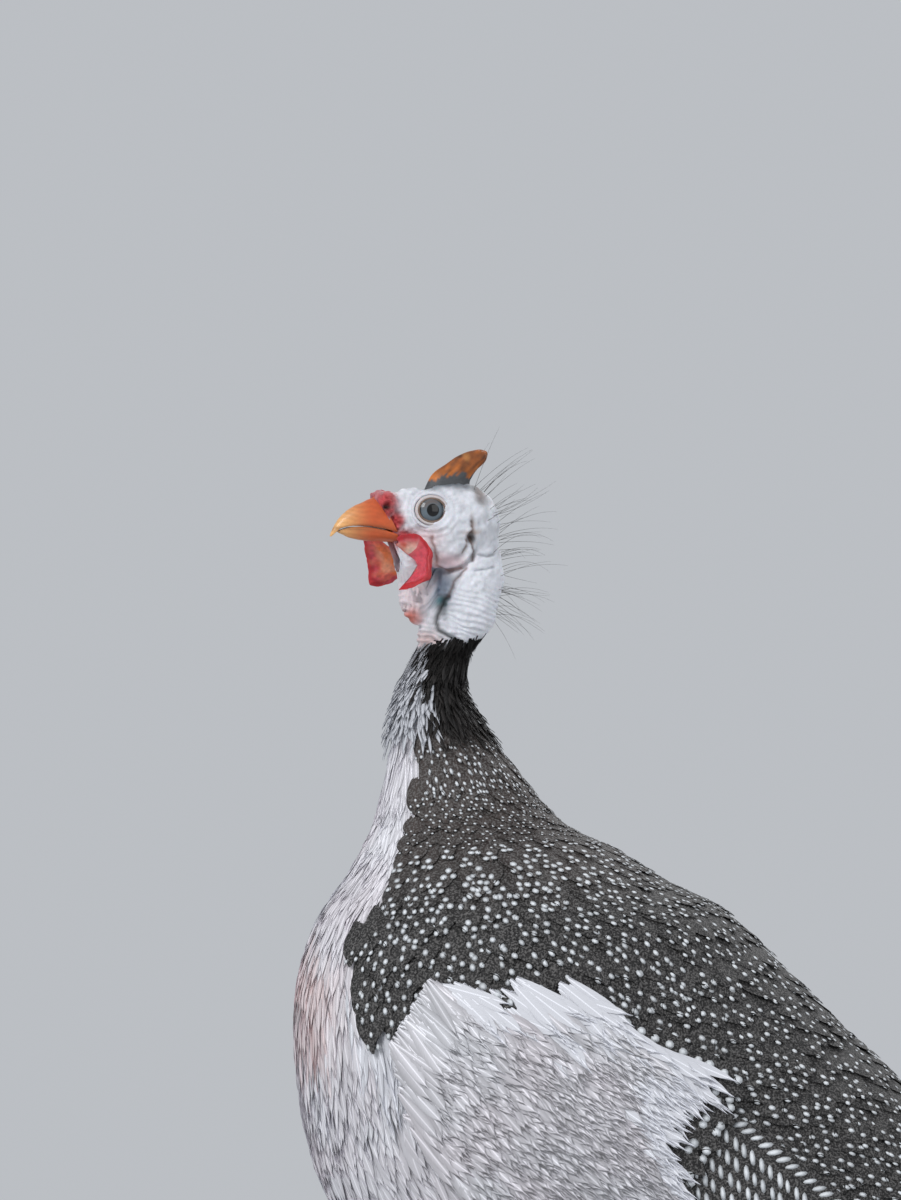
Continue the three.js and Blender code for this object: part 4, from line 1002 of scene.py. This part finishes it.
def trunk_coat(start, end, lines, gap, seed, half_share=0.74, length_share=2.9, lift=3.3, dot=0.75,
               grid=(9, 5)):
    """The feathers and pearls of one zone of the trunk, with white roots left out of both."""
    index, around, space = roots_on(trunk, start, end, lines, gap, seed)
    tips = trunk(index + 0.35, around)
    keep = ~on_wing(trunk(index, around))
    white = is_white(tips)
    dark = keep & ~white
    draw = np.random.default_rng(seed + 1)
    index_d, around_d, space_d = index[dark], around[dark], space[dark]
    count = len(index_d)
    lean = draw.normal(0, 0.07, count)
    f = shaped(count, length=gap * length_share * draw.uniform(0.92, 1.08, count), half=half_share * space_d,
               lift=lift * draw.uniform(0.85, 1.2, count), roll=draw.normal(0, 0.18, count))
    tint = plumage_tint(tips[dark])
    tint[:, :3] *= draw.uniform(0.8, 1.2, (count, 1))
    surface = lay(trunk, index_d, around_d, lean)
    bake = unwrapped(index_d, around_d)
    coat = grow(surface, f, *grid, tint, bake, seed + 2)
    spots = []
    length = f["length"].ravel()
    size = dot * (0.8 + 0.45 * np.abs(np.sin(around_d)) ** 2)
    for column, row in ((-0.26, -0.24), (0.26, -0.24), (0.0, -0.70)):
        off = draw.normal(0, 0.04, (2, count))
        tone = np.tile(rgb("#e2e6ea"), (count, 1)) * draw.uniform(0.75, 1.05, (count, 1))
        spots.append(pearls(surface, f, length * 0.97 + (row + off[0]) * gap, (column + off[1]) * space_d,
                            1.2 * size * draw.uniform(0.85, 1.15, count),
                            size * draw.uniform(0.85, 1.15, count),
                            0 * length, tone, bake))
    return coat, spots, (index[keep & white], around[keep & white], space[keep & white])


def white_coat(roots, gap, seed, copies=4):
    """Narrow pointed vanes in tufts of several for each white root."""
    draw = np.random.default_rng(seed)
    index, around, space = (np.repeat(v, copies) for v in roots)
    count = len(index)
    pace = np.linalg.norm(trunk(index + 0.1, around) - trunk(index, around), axis=-1) / 0.1
    index = index + draw.uniform(-0.5, 0.5, count) * gap / pace
    around = around + draw.uniform(-0.5, 0.5, count) * space / np.maximum(
        np.linalg.norm(trunk(index, around + 0.04) - trunk(index, around), axis=-1) / 0.04, 4)
    size = np.clip(space / 9, 0.55, 1.15)
    f = shaped(count, length=draw.uniform(24, 36, count) * size, half=draw.uniform(1.4, 2.5, count) * size,
               tip=0.1, lift=draw.uniform(1.5, 2.6, count) * size, cup=0.1, roll=draw.normal(0, 0.2, count),
               rag=0.02)
    tint = plumage_tint(trunk(index, around))
    tint[:, :3] = np.where(tint[:, 3:] > 0, rgb("#d6d7dd")[:3], tint[:, :3])
    tint[:, :3] *= draw.uniform(0.9, 1.06, (count, 1))
    tint[:, 3] = 0
    surface = lay(trunk, index, around, draw.normal(0, 0.11, count))
    return grow(surface, f, 7, 3, tint, unwrapped(index, around), seed + 1, 0.08)


zones = {
    "neck": trunk_coat(1.9, 4.1, 34, 3.9, 100, 0.8, 3.4, 3.0, 0.4, (8, 5)),
    "mantle": trunk_coat(4.0, 7.2, 54, 6.4, 110, 0.78, 3.2, 3.3, 0.78),
    "back": trunk_coat(7.1, 10.0, 62, 7.8, 120, 0.78, 3.0, 3.6, 1.0, (9, 7)),
    "rump": trunk_coat(9.9, 14.0, 58, 8.6, 124, 0.78, 2.8, 3.8, 1.05, (9, 7)),
}
for number, (name, (coat, spots, white)) in enumerate(zones.items()):
    add_piece("coat_" + name, [coat], feather_look)
    add_piece("pearls_" + name, spots, pearl_look)
    add_piece("down_" + name, [white_coat(white, 8.0, 130 + 2 * number, 7 if number else 5)],
              down_look)

# Neck hairs: short black hair-like feathers on the upper neck, and long thin filoplumes that stand out
# from the nape. Each is a thin tapering strip or thread of the same stuff as a feather's shaft.

def hairs(form, index, around, draw, length, lift, root, front, columns, bake, seed):
    """Hair-like feathers on a form, black, and pale in front of the x that front gives. length and lift
    are the ends of their ranges."""
    count = len(index)
    f = shaped(count, length=draw.uniform(*length, count), half=draw.uniform(0.35, 0.7, count), tip=0.1,
               root=root, lift=draw.uniform(*lift, count), cup=0.1, rag=0.0)
    tint = np.tile(rgb("#171413"), (count, 1)) * draw.uniform(0.7, 1.6, (count, 1))
    tint[:, 3] = 0
    pale = form(index, around)[:, 0] + draw.normal(0, 1.2, count) < front
    tint[pale, :3] = rgb("#b4b6bc")[:3]
    surface = lay(form, index, around, draw.normal(0, 0.2, count))
    return grow(surface, f, 6, columns, tint, bake, seed, 0.1)


def head_form(index, around, extra=0.0):
    """The bare head's surface, moved out by extra along each ray."""
    index, around, extra = np.broadcast_arrays(index, around, extra)
    point = head_point(index, around)
    out = np.stack([0.9 * np.cos(around), np.sin(around), 0.3 * np.cos(around)], -1)
    return turn(point + out * extra[..., None] + HEAD)


def nape_form(index, around, extra=0.0):
    """The bare head's surface to its last ring, 12, and the trunk's surface beyond it."""
    index, around, extra = np.broadcast_arrays(index, around, extra)
    low = trunk(np.maximum(index - 12, 0) * 0.5, around, extra)
    high = head_form(np.minimum(index, 12), around, extra)
    share = smooth(index, 11.6, 12.4)[..., None]
    return blend(high, low, share)


index, around, space = roots_on(trunk, 0.0, 2.3, 54, 2.0, 140)
draw = np.random.default_rng(141)
ruff = hairs(trunk, index, around, draw, (6, 11), (0.8, 3.2), -0.6, PALE_FRONT + 0.5, 3,
             unwrapped(index, around), 142)
count = 1150
draw = np.random.default_rng(145)
index = draw.uniform(10.7, 12.6, count)
around = draw.uniform(-np.pi, np.pi, count)
nape = draw.uniform(0, 1, count) < 0.16
index = np.where(nape, draw.uniform(8.6, 11.2, count), index)
around = np.where(nape, draw.normal(0, 0.22, count), around)
collar = hairs(nape_form, index, around, draw, (6, 12), (0.6, 2.2), -0.4, PALE_FRONT, 2,
               np.stack([0.5 + 0.15 * around, 0.08 * index], -1), 146)


def thread(start, middle, end, radius):
    """Thin tapering tubes along curves bent by a middle point: (1-t)^2 a + 2t(1-t) b + t^2 c."""
    t = np.linspace(0, 1, 12)[None, :, None]
    path = (1 - t) ** 2 * start[:, None] + 2 * t * (1 - t) * middle[:, None] + t ** 2 * end[:, None]
    way = unit(np.gradient(path, axis=1))
    first = unit(np.cross(way, [0.0, 1.0, 0.1]))
    second = np.cross(first, way)
    angle = (np.arange(5) * 2 * np.pi / 5)[None, None, :, None]
    wide = radius * (1 - 0.75 * t[..., None])
    out = np.cos(angle) * first[:, :, None] + np.sin(angle) * second[:, :, None]
    rings = path[:, :, None] + wide * out
    parts = []
    for number, one in enumerate(rings):
        part = tube(one, rgb("#1a1514"))
        size = len(part["points"])
        part["web"] = np.zeros((size, 3))
        part["bake"] = np.tile([0.1 + 0.8 * number / len(rings), 0.01], (size, 1))
        part["rim"] = np.zeros(size, bool)
        parts.append(part)
    return parts


count = 70
draw = np.random.default_rng(150)
place = draw.uniform(4.6, 10.6, count)
start = head_point(place, draw.normal(0, 0.22, count) % (2 * np.pi))
share = (place - 4.6) / 6.0
fan = np.radians(52 - 88 * share + draw.normal(0, 12, count))
length = draw.uniform(13, 31, count) * (1 - 0.25 * share)
away = np.stack([np.cos(fan), draw.normal(0, 0.22, count), np.sin(fan)], -1)
end = start + away * length[:, None]
bend = np.stack([0 * share, draw.normal(0, 1.2, count), draw.normal(1.8, 2.4, count)], -1)
middle = start + away * length[:, None] * 0.55 + bend
tops = [turn(p + HEAD) for p in (start - 0.6 * away, middle, end)]
add_piece("neck_hairs", [ruff, collar] + thread(*tops, 0.085), feather_look)

# Wings: folded against the sides. Rows of coverts with round pearls lie over the secondaries, which carry
# slanting pale dashes, and the primaries show below and behind them. Each feather is a horn shaft and web.


def side_of_trunk(x, z):
    """Distance of the trunk's side from the middle plane at a place seen from the side, found by halving
    the rib index that the place lies on."""
    low = np.full(x.shape, 3.0)
    high = np.full(x.shape, 14.0)
    for _ in range(20):
        index = (low + high) / 2
        rib = spline(TRUNK, index)
        middle = (rib[..., 0:2] + rib[..., 2:4]) / 2
        up = (rib[..., 0:2] - rib[..., 2:4]) / 2
        passed = up[..., 0] * (z - middle[..., 1]) - up[..., 1] * (x - middle[..., 0]) > 0
        high = np.where(passed, index, high)
        low = np.where(passed, low, index)
    rise = ((x - middle[..., 0]) * up[..., 0] + (z - middle[..., 1]) * up[..., 1]) / (up ** 2).sum(-1)
    rise = np.clip(rise, -1.3, 1.3)
    return rib[..., 4] * np.sqrt(np.maximum(0.16, 1 - rise ** 2)) * (1 - 0.1 * rise)


def wing_form(along, across, height):
    """The left wing's own plane laid over the trunk's side: along runs back from the wrist at 30 degrees
    down, across runs up, and height stands out."""
    x = WRIST[0] + along * math.cos(WING_SLOPE) + across * math.sin(WING_SLOPE)
    z = WRIST[1] - along * math.sin(WING_SLOPE) + across * math.cos(WING_SLOPE)
    return np.stack([x, -(side_of_trunk(x, z) + height), z], -1)


def wing_row(roots, tips, half, f_values, dots, seed, rows=12, columns=7):
    """One row of wing feathers from root places to tip places in the wing's plane, with its pale spots.
    dots lists the spots of a feather: distance before the tip, side, half length, half width, slant."""
    draw = np.random.default_rng(seed)
    count = len(roots)
    run = tips - roots
    length = np.linalg.norm(run, axis=-1)
    way = run / length[:, None]
    f = shaped(count, length=length, half=half, **f_values)

    def surface_for(which):
        base = roots[which].reshape(-1, 1, 1, 2)
        ahead = way[which].reshape(-1, 1, 1, 2)

        def surface(along, side, height):
            along, side, height = np.broadcast_arrays(along, side, height)
            beside = np.stack([-ahead[..., 1] * side, ahead[..., 0] * side], -1)
            at = base + ahead * along[..., None] + beside
            return wing_form(at[..., 0], at[..., 1], height)
        return surface
    every = np.arange(count)
    middle = surface_for(every)(f["length"] * 0.75, 0 * f["length"], 0 * f["length"]).reshape(-1, 3)
    for far, beside in ((0.5, 1.0), (0.9, 1.0), (1.0, 0.0), (0.2, 1.0)):
        wide = beside * np.broadcast_to(half, count).reshape(-1, 1, 1)
        other = surface_for(every)(f["length"] * far, wide, 0 * f["length"]).reshape(-1, 3)
        middle = np.where((is_white(middle) & ~is_white(other))[:, None], other, middle)
    tint = plumage_tint(middle)
    white = tint[:, 3] == 0
    tint[:, :3] *= draw.uniform(0.82, 1.15, (count, 1))
    bake = np.stack([0.1 + 0.8 * (roots[:, 0] + 10) / 130, 0.1 + 0.8 * (roots[:, 1] + 40) / 100], -1)
    vanes = grow(surface_for(every), f, rows, columns, tint, bake, seed + 1, 0.3)
    spots = []
    dark = every[~white]
    chosen = {k: v[dark] for k, v in f.items()}
    for before, side, long, wide, slant in dots:
        at = length[dark] - before
        fit = at > 3
        if not fit.any():
            continue
        picked = {k: v[fit] for k, v in chosen.items()}
        size = draw.uniform(0.88, 1.12, fit.sum())
        colour = np.tile(rgb("#e0e4e8"), (fit.sum(), 1)) * draw.uniform(0.82, 1.08, (fit.sum(), 1))
        spots.append(pearls(surface_for(dark[fit]), picked, at[fit] + draw.normal(0, 0.25, fit.sum()),
                            side * picked["half"].ravel(), long * size, wide * size,
                            np.full(fit.sum(), slant),
                            colour, bake[dark[fit]]))
    return vanes, spots


def spread(first, last, count):
    """Places from first to last, each a pair in the wing's plane."""
    return np.linspace(np.array(first, float), np.array(last, float), count)


quills = []
marks = []
dash = [(5 + 4.3 * k, 0.45, 2.9, 1.0, 0.8) for k in range(24)]
dash += [(6 + 4.3 * k, -0.45, 2.9, 1.0, -0.8) for k in range(24)]
bars = [(8 + 6.5 * k, s, 1.9, 1.3, 0.3) for k in range(18) for s in (-0.45, 0.45)]
made = [wing_row(spread([104, -24], [112, 2], 7), spread([192, -21], [232, 6], 7), 6.4,
                 {"root": 0.8, "lift": 1.6, "cup": 0.3, "roll": -0.5, "tip": 0.35, "rag": 0.012}, bars, 200,
                 26, 9)]
made.append(wing_row(spread([86, -24], [92, 42], 12), spread([160, -30], [204, 24], 12), 7.6,
                     {"root": 2.2, "lift": 3.2, "cup": 0.5, "roll": -0.9, "tip": 0.45, "rag": 0.012},
                     dash, 210, 26, 9))
for number, (at, reach, size, gap) in enumerate(((78, 40, 8.2, 9.5), (64, 34, 7.6, 9.0), (51, 30, 7.0, 8.5),
                                                 (39, 27, 6.4, 8.0), (28, 24, 5.8, 7.6), (17, 22, 5.4, 7.2),
                                                 (7, 20, 5.0, 6.8), (-2, 18, 4.6, 6.4))):
    low, high = wing_edges(at)
    count = max(3, int((high - low - 6) / gap) + 1)
    roots = spread([at, low + 3], [at - 2, high - 3], count)
    roots = roots + np.random.default_rng(300 + number).normal(0, 0.7, roots.shape)
    bend = np.linspace(-0.16, 0.03, count)
    tips = roots + reach * np.stack([np.cos(bend), np.sin(bend)], -1)
    level = 3.6 + 2.6 * math.sin(math.pi * min(1, (at + 12) / 110)) ** 0.8
    round_dots = [(4.0 + 6.2 * k, s, 1.8, 1.65, 0.0) for k in range(3) for s in (-0.48, 0.48)]
    made.append(wing_row(roots, tips, size, {"root": level - 3.2, "lift": 4.0, "cup": 0.7, "tip": 0.4},
                         round_dots, 310 + 10 * number, 12, 9))
for vanes, spots in made:
    quills.append(vanes)
    marks += spots
add_piece("wing_feathers_left", quills, feather_look)
add_piece("wing_feathers_right", [mirrored(p) for p in quills], feather_look)
add_piece("pearls_wings", marks + [mirrored(p) for p in marks], pearl_look)

# Shoulder fringe: narrow white feathers of breast and flank, horn shaft and soft web, that lie over the
# wrist and the front of the folded wing and are rooted in the skin.

draw = np.random.default_rng(400)
count = 4400
along = draw.uniform(-12, 118, count)
share = draw.uniform(0, 1, count)
low = np.interp(along, [-12, 8, 50, 100], [0, -22, -36, -38])
high = np.interp(along, [-12, 8, 50, 100], [30, 54, 70, 70])
roots = np.stack([along, low + (high - low) * share], -1)
place = wing_form(roots[:, 0] + 12, roots[:, 1], 0 * along)
roots = roots[is_white(place)]
count = len(roots)
angle = draw.normal(-0.18, 0.14, count)
length = draw.uniform(24, 36, count)
tips = roots + length[:, None] * np.stack([np.cos(angle), np.sin(angle)], -1)
level = 3.9 + 3.6 * np.sin(np.pi * np.clip((roots[:, 0] + 14) / 130, 0, 1))
fringe, _ = wing_row(roots, tips, draw.uniform(1.6, 2.8, count),
                     {"root": level - 1.6, "lift": draw.uniform(2.7, 3.5, count), "cup": 0.1, "tip": 0.08,
                      "roll": draw.normal(0, 0.12, count)}, [], 402, 7, 3)
fringe["tint"][:, :3] = np.where(fringe["tint"][:, 3:] > 0, rgb("#d6d7dd")[:3], fringe["tint"][:, :3])
fringe["tint"][:, 3] = 0
add_piece("shoulder_fringe_left", [fringe], down_look)
add_piece("shoulder_fringe_right", [mirrored(fringe)], down_look)

# Tail: fourteen short stiff feathers of horn shaft and web that slope down like a roof, rooted in the rump
# under a sheath of softer coverts.


# The tail: x and z of its root, and its slope down.
TAIL_ROOT = (109, 138)
TAIL_SLOPE = math.radians(58)


def tail_width(along):
    """Half width of the tail's roof at a distance from its root."""
    return 19 + 0.15 * along


def tail_form(side, along, height):
    """The roof of the tail: it widens with along, and droops with the square of side."""
    droop = 17 * side ** 2 - height
    x = TAIL_ROOT[0] + along * math.cos(TAIL_SLOPE) - 0.5 * droop
    z = TAIL_ROOT[1] - along * math.sin(TAIL_SLOPE) - 0.8 * droop
    return np.stack([x, side * tail_width(along), z], -1)


def tail_row(sides, start, length, half, f_values, seed):
    """Tail feathers at places across the roof, with pale bars, shorter towards the outside."""
    draw = np.random.default_rng(seed)
    count = len(sides)
    lengths = length * (1 - 0.16 * sides ** 2) * draw.uniform(0.98, 1.02, count)
    f = shaped(count, length=lengths, half=half, **f_values)

    def surface_for(which):
        place = sides[which].reshape(-1, 1, 1)

        def surface(along, side, height):
            along, side, height = np.broadcast_arrays(along, side, height)
            return tail_form(place + side / tail_width(start + along), start + along, height)
        return surface
    every = np.arange(count)
    tint = np.tile(rgb("#262424"), (count, 1)) * draw.uniform(0.85, 1.15, (count, 1))
    tint[:, 3] = 1
    bake = np.stack([0.5 + 0.4 * sides, 0.9 + 0 * sides], -1)
    vanes = grow(surface_for(every), f, 20, 9, tint, bake, seed + 1, 0.3)
    spots = []
    for k in range(int(length / 6)):
        for side in (-0.45, 0.45):
            colour = np.tile(rgb("#c3c8cd"), (count, 1))
            spots.append(pearls(surface_for(every), f, lengths - 6 - 6 * k, side * f["half"].ravel(),
                                np.full(count, 1.7), np.full(count, 1.1), np.full(count, 0.4), colour, bake))
    return vanes, spots


places = np.linspace(-0.92, 0.92, 14)
quill_values = {"root": 0.4 + 1.2 * (1 - np.abs(places)), "lift": 1.0, "cup": 0.4,
                "roll": -0.9 * np.sign(places), "tip": 0.5, "rag": 0.01}
tail_parts = [tail_row(places, -4, 96, 5.6, quill_values, 500)]
for number, (start, reach, top) in enumerate(((6, 60, 3.4), (-2, 50, 4.6), (-8, 40, 5.6))):
    spread_out = np.linspace(-0.86, 0.86, 11 - number)
    tail_parts.append(tail_row(spread_out, start, reach, 5.6, {"root": top - 1.4, "lift": 1.4, "cup": 0.8,
                                                               "tip": 0.35}, 510 + 10 * number))
add_piece("tail_feathers", [vanes for vanes, _ in tail_parts], feather_look)
add_piece("pearls_tail", [spot for _, spots in tail_parts for spot in spots], pearl_look)

# Thigh feathers: short soft feathers, shaft and web, rooted in the thigh's skin down to the heel joint.
# They take the plumage's colour at their place.

index, around, space = roots_on(thigh, 1.2, 3.8, 22, 5.0, 600)
draw = np.random.default_rng(601)
count = len(index)
f = shaped(count, length=draw.uniform(11, 15, count) * np.clip(space / 5, 0.55, 1.1), half=0.8 * space,
           tip=0.2, root=-1.2, lift=2.4, cup=0.4)
tint = plumage_tint(thigh(index, around))
tint[:, :3] *= draw.uniform(0.85, 1.12, (count, 1))
breeches = grow(lay(thigh, index, around, draw.normal(0, 0.1, count)), f, 9, 5, tint,
                np.stack([0.1 + 0.8 * (around / (2 * np.pi) % 1), 0.1 + 0.2 * index], -1), 602)
add_piece("thigh_feathers", [breeches, mirrored(breeches)], feather_look)

# Setting: a plain pale floor, soft light, and a camera at the photo's height and framing.

floor_angles = [k * math.pi / 48 for k in range(96)]
floor_points = [(1.8 * math.cos(a), 1.8 * math.sin(a), -0.0002) for a in floor_angles]
floor_mesh = bpy.data.meshes.new("floor")
floor_mesh.from_pydata(floor_points, [], [tuple(range(96))])
floor = bpy.data.objects.new("floor", floor_mesh)
bpy.context.collection.objects.link(floor)


def plain(tree):
    """The recipe of the floor: a pale grey with faint clouds."""
    value = noise(tree, 6.0)
    grey = add_node(tree, "ShaderNodeRGB")
    grey.outputs[0].default_value = (0.52, 0.53, 0.54, 1.0)
    rough = add_node(tree, "ShaderNodeMapRange", {"Value": value, "To Min": 0.7, "To Max": 0.9})
    return shade(tree, grey.outputs[0], value, 0.97, 1.03), rough.outputs[0], value


floor_mesh.materials.append(material("floor", plain, {}, (0.05, 0.001)))
world = bpy.data.worlds.new("studio")
world.use_nodes = True
world.node_tree.nodes["Background"].inputs[0].default_value = (0.50, 0.52, 0.55, 1.0)
world.node_tree.nodes["Background"].inputs[1].default_value = 1.0
bpy.context.scene.world = world
staged = [floor]
for name, place, energy, size in (("key", (-1.5, -1.7, 1.9), 42.0, 1.4),
                                  ("fill", (1.6, -1.5, 0.9), 9.0, 1.6),
                                  ("rim", (0.9, 1.5, 1.7), 16.0, 1.2)):
    lamp = bpy.data.lights.new(name, "AREA")
    lamp.energy = energy
    lamp.size = size
    light = bpy.data.objects.new(name, lamp)
    bpy.context.collection.objects.link(light)
    x, y, z = place[0] + 0.05, place[1], place[2] - 0.28
    light.location = place
    light.rotation_euler = (math.atan2(math.hypot(x, y), z), 0, math.atan2(x, -y))
    staged.append(light)
lens = bpy.data.cameras.new("camera")
lens.lens = 230.8
lens.sensor_width = 36
camera = bpy.data.objects.new("camera", lens)
bpy.context.collection.objects.link(camera)
camera.location = (-0.0985, -3.0, 0.4056)
camera.rotation_euler = (math.pi / 2, 0, 0)
bpy.context.scene.camera = camera
bpy.context.scene.view_settings.view_transform = "Standard"
staged.append(camera)
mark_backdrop(*staged)

low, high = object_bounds()
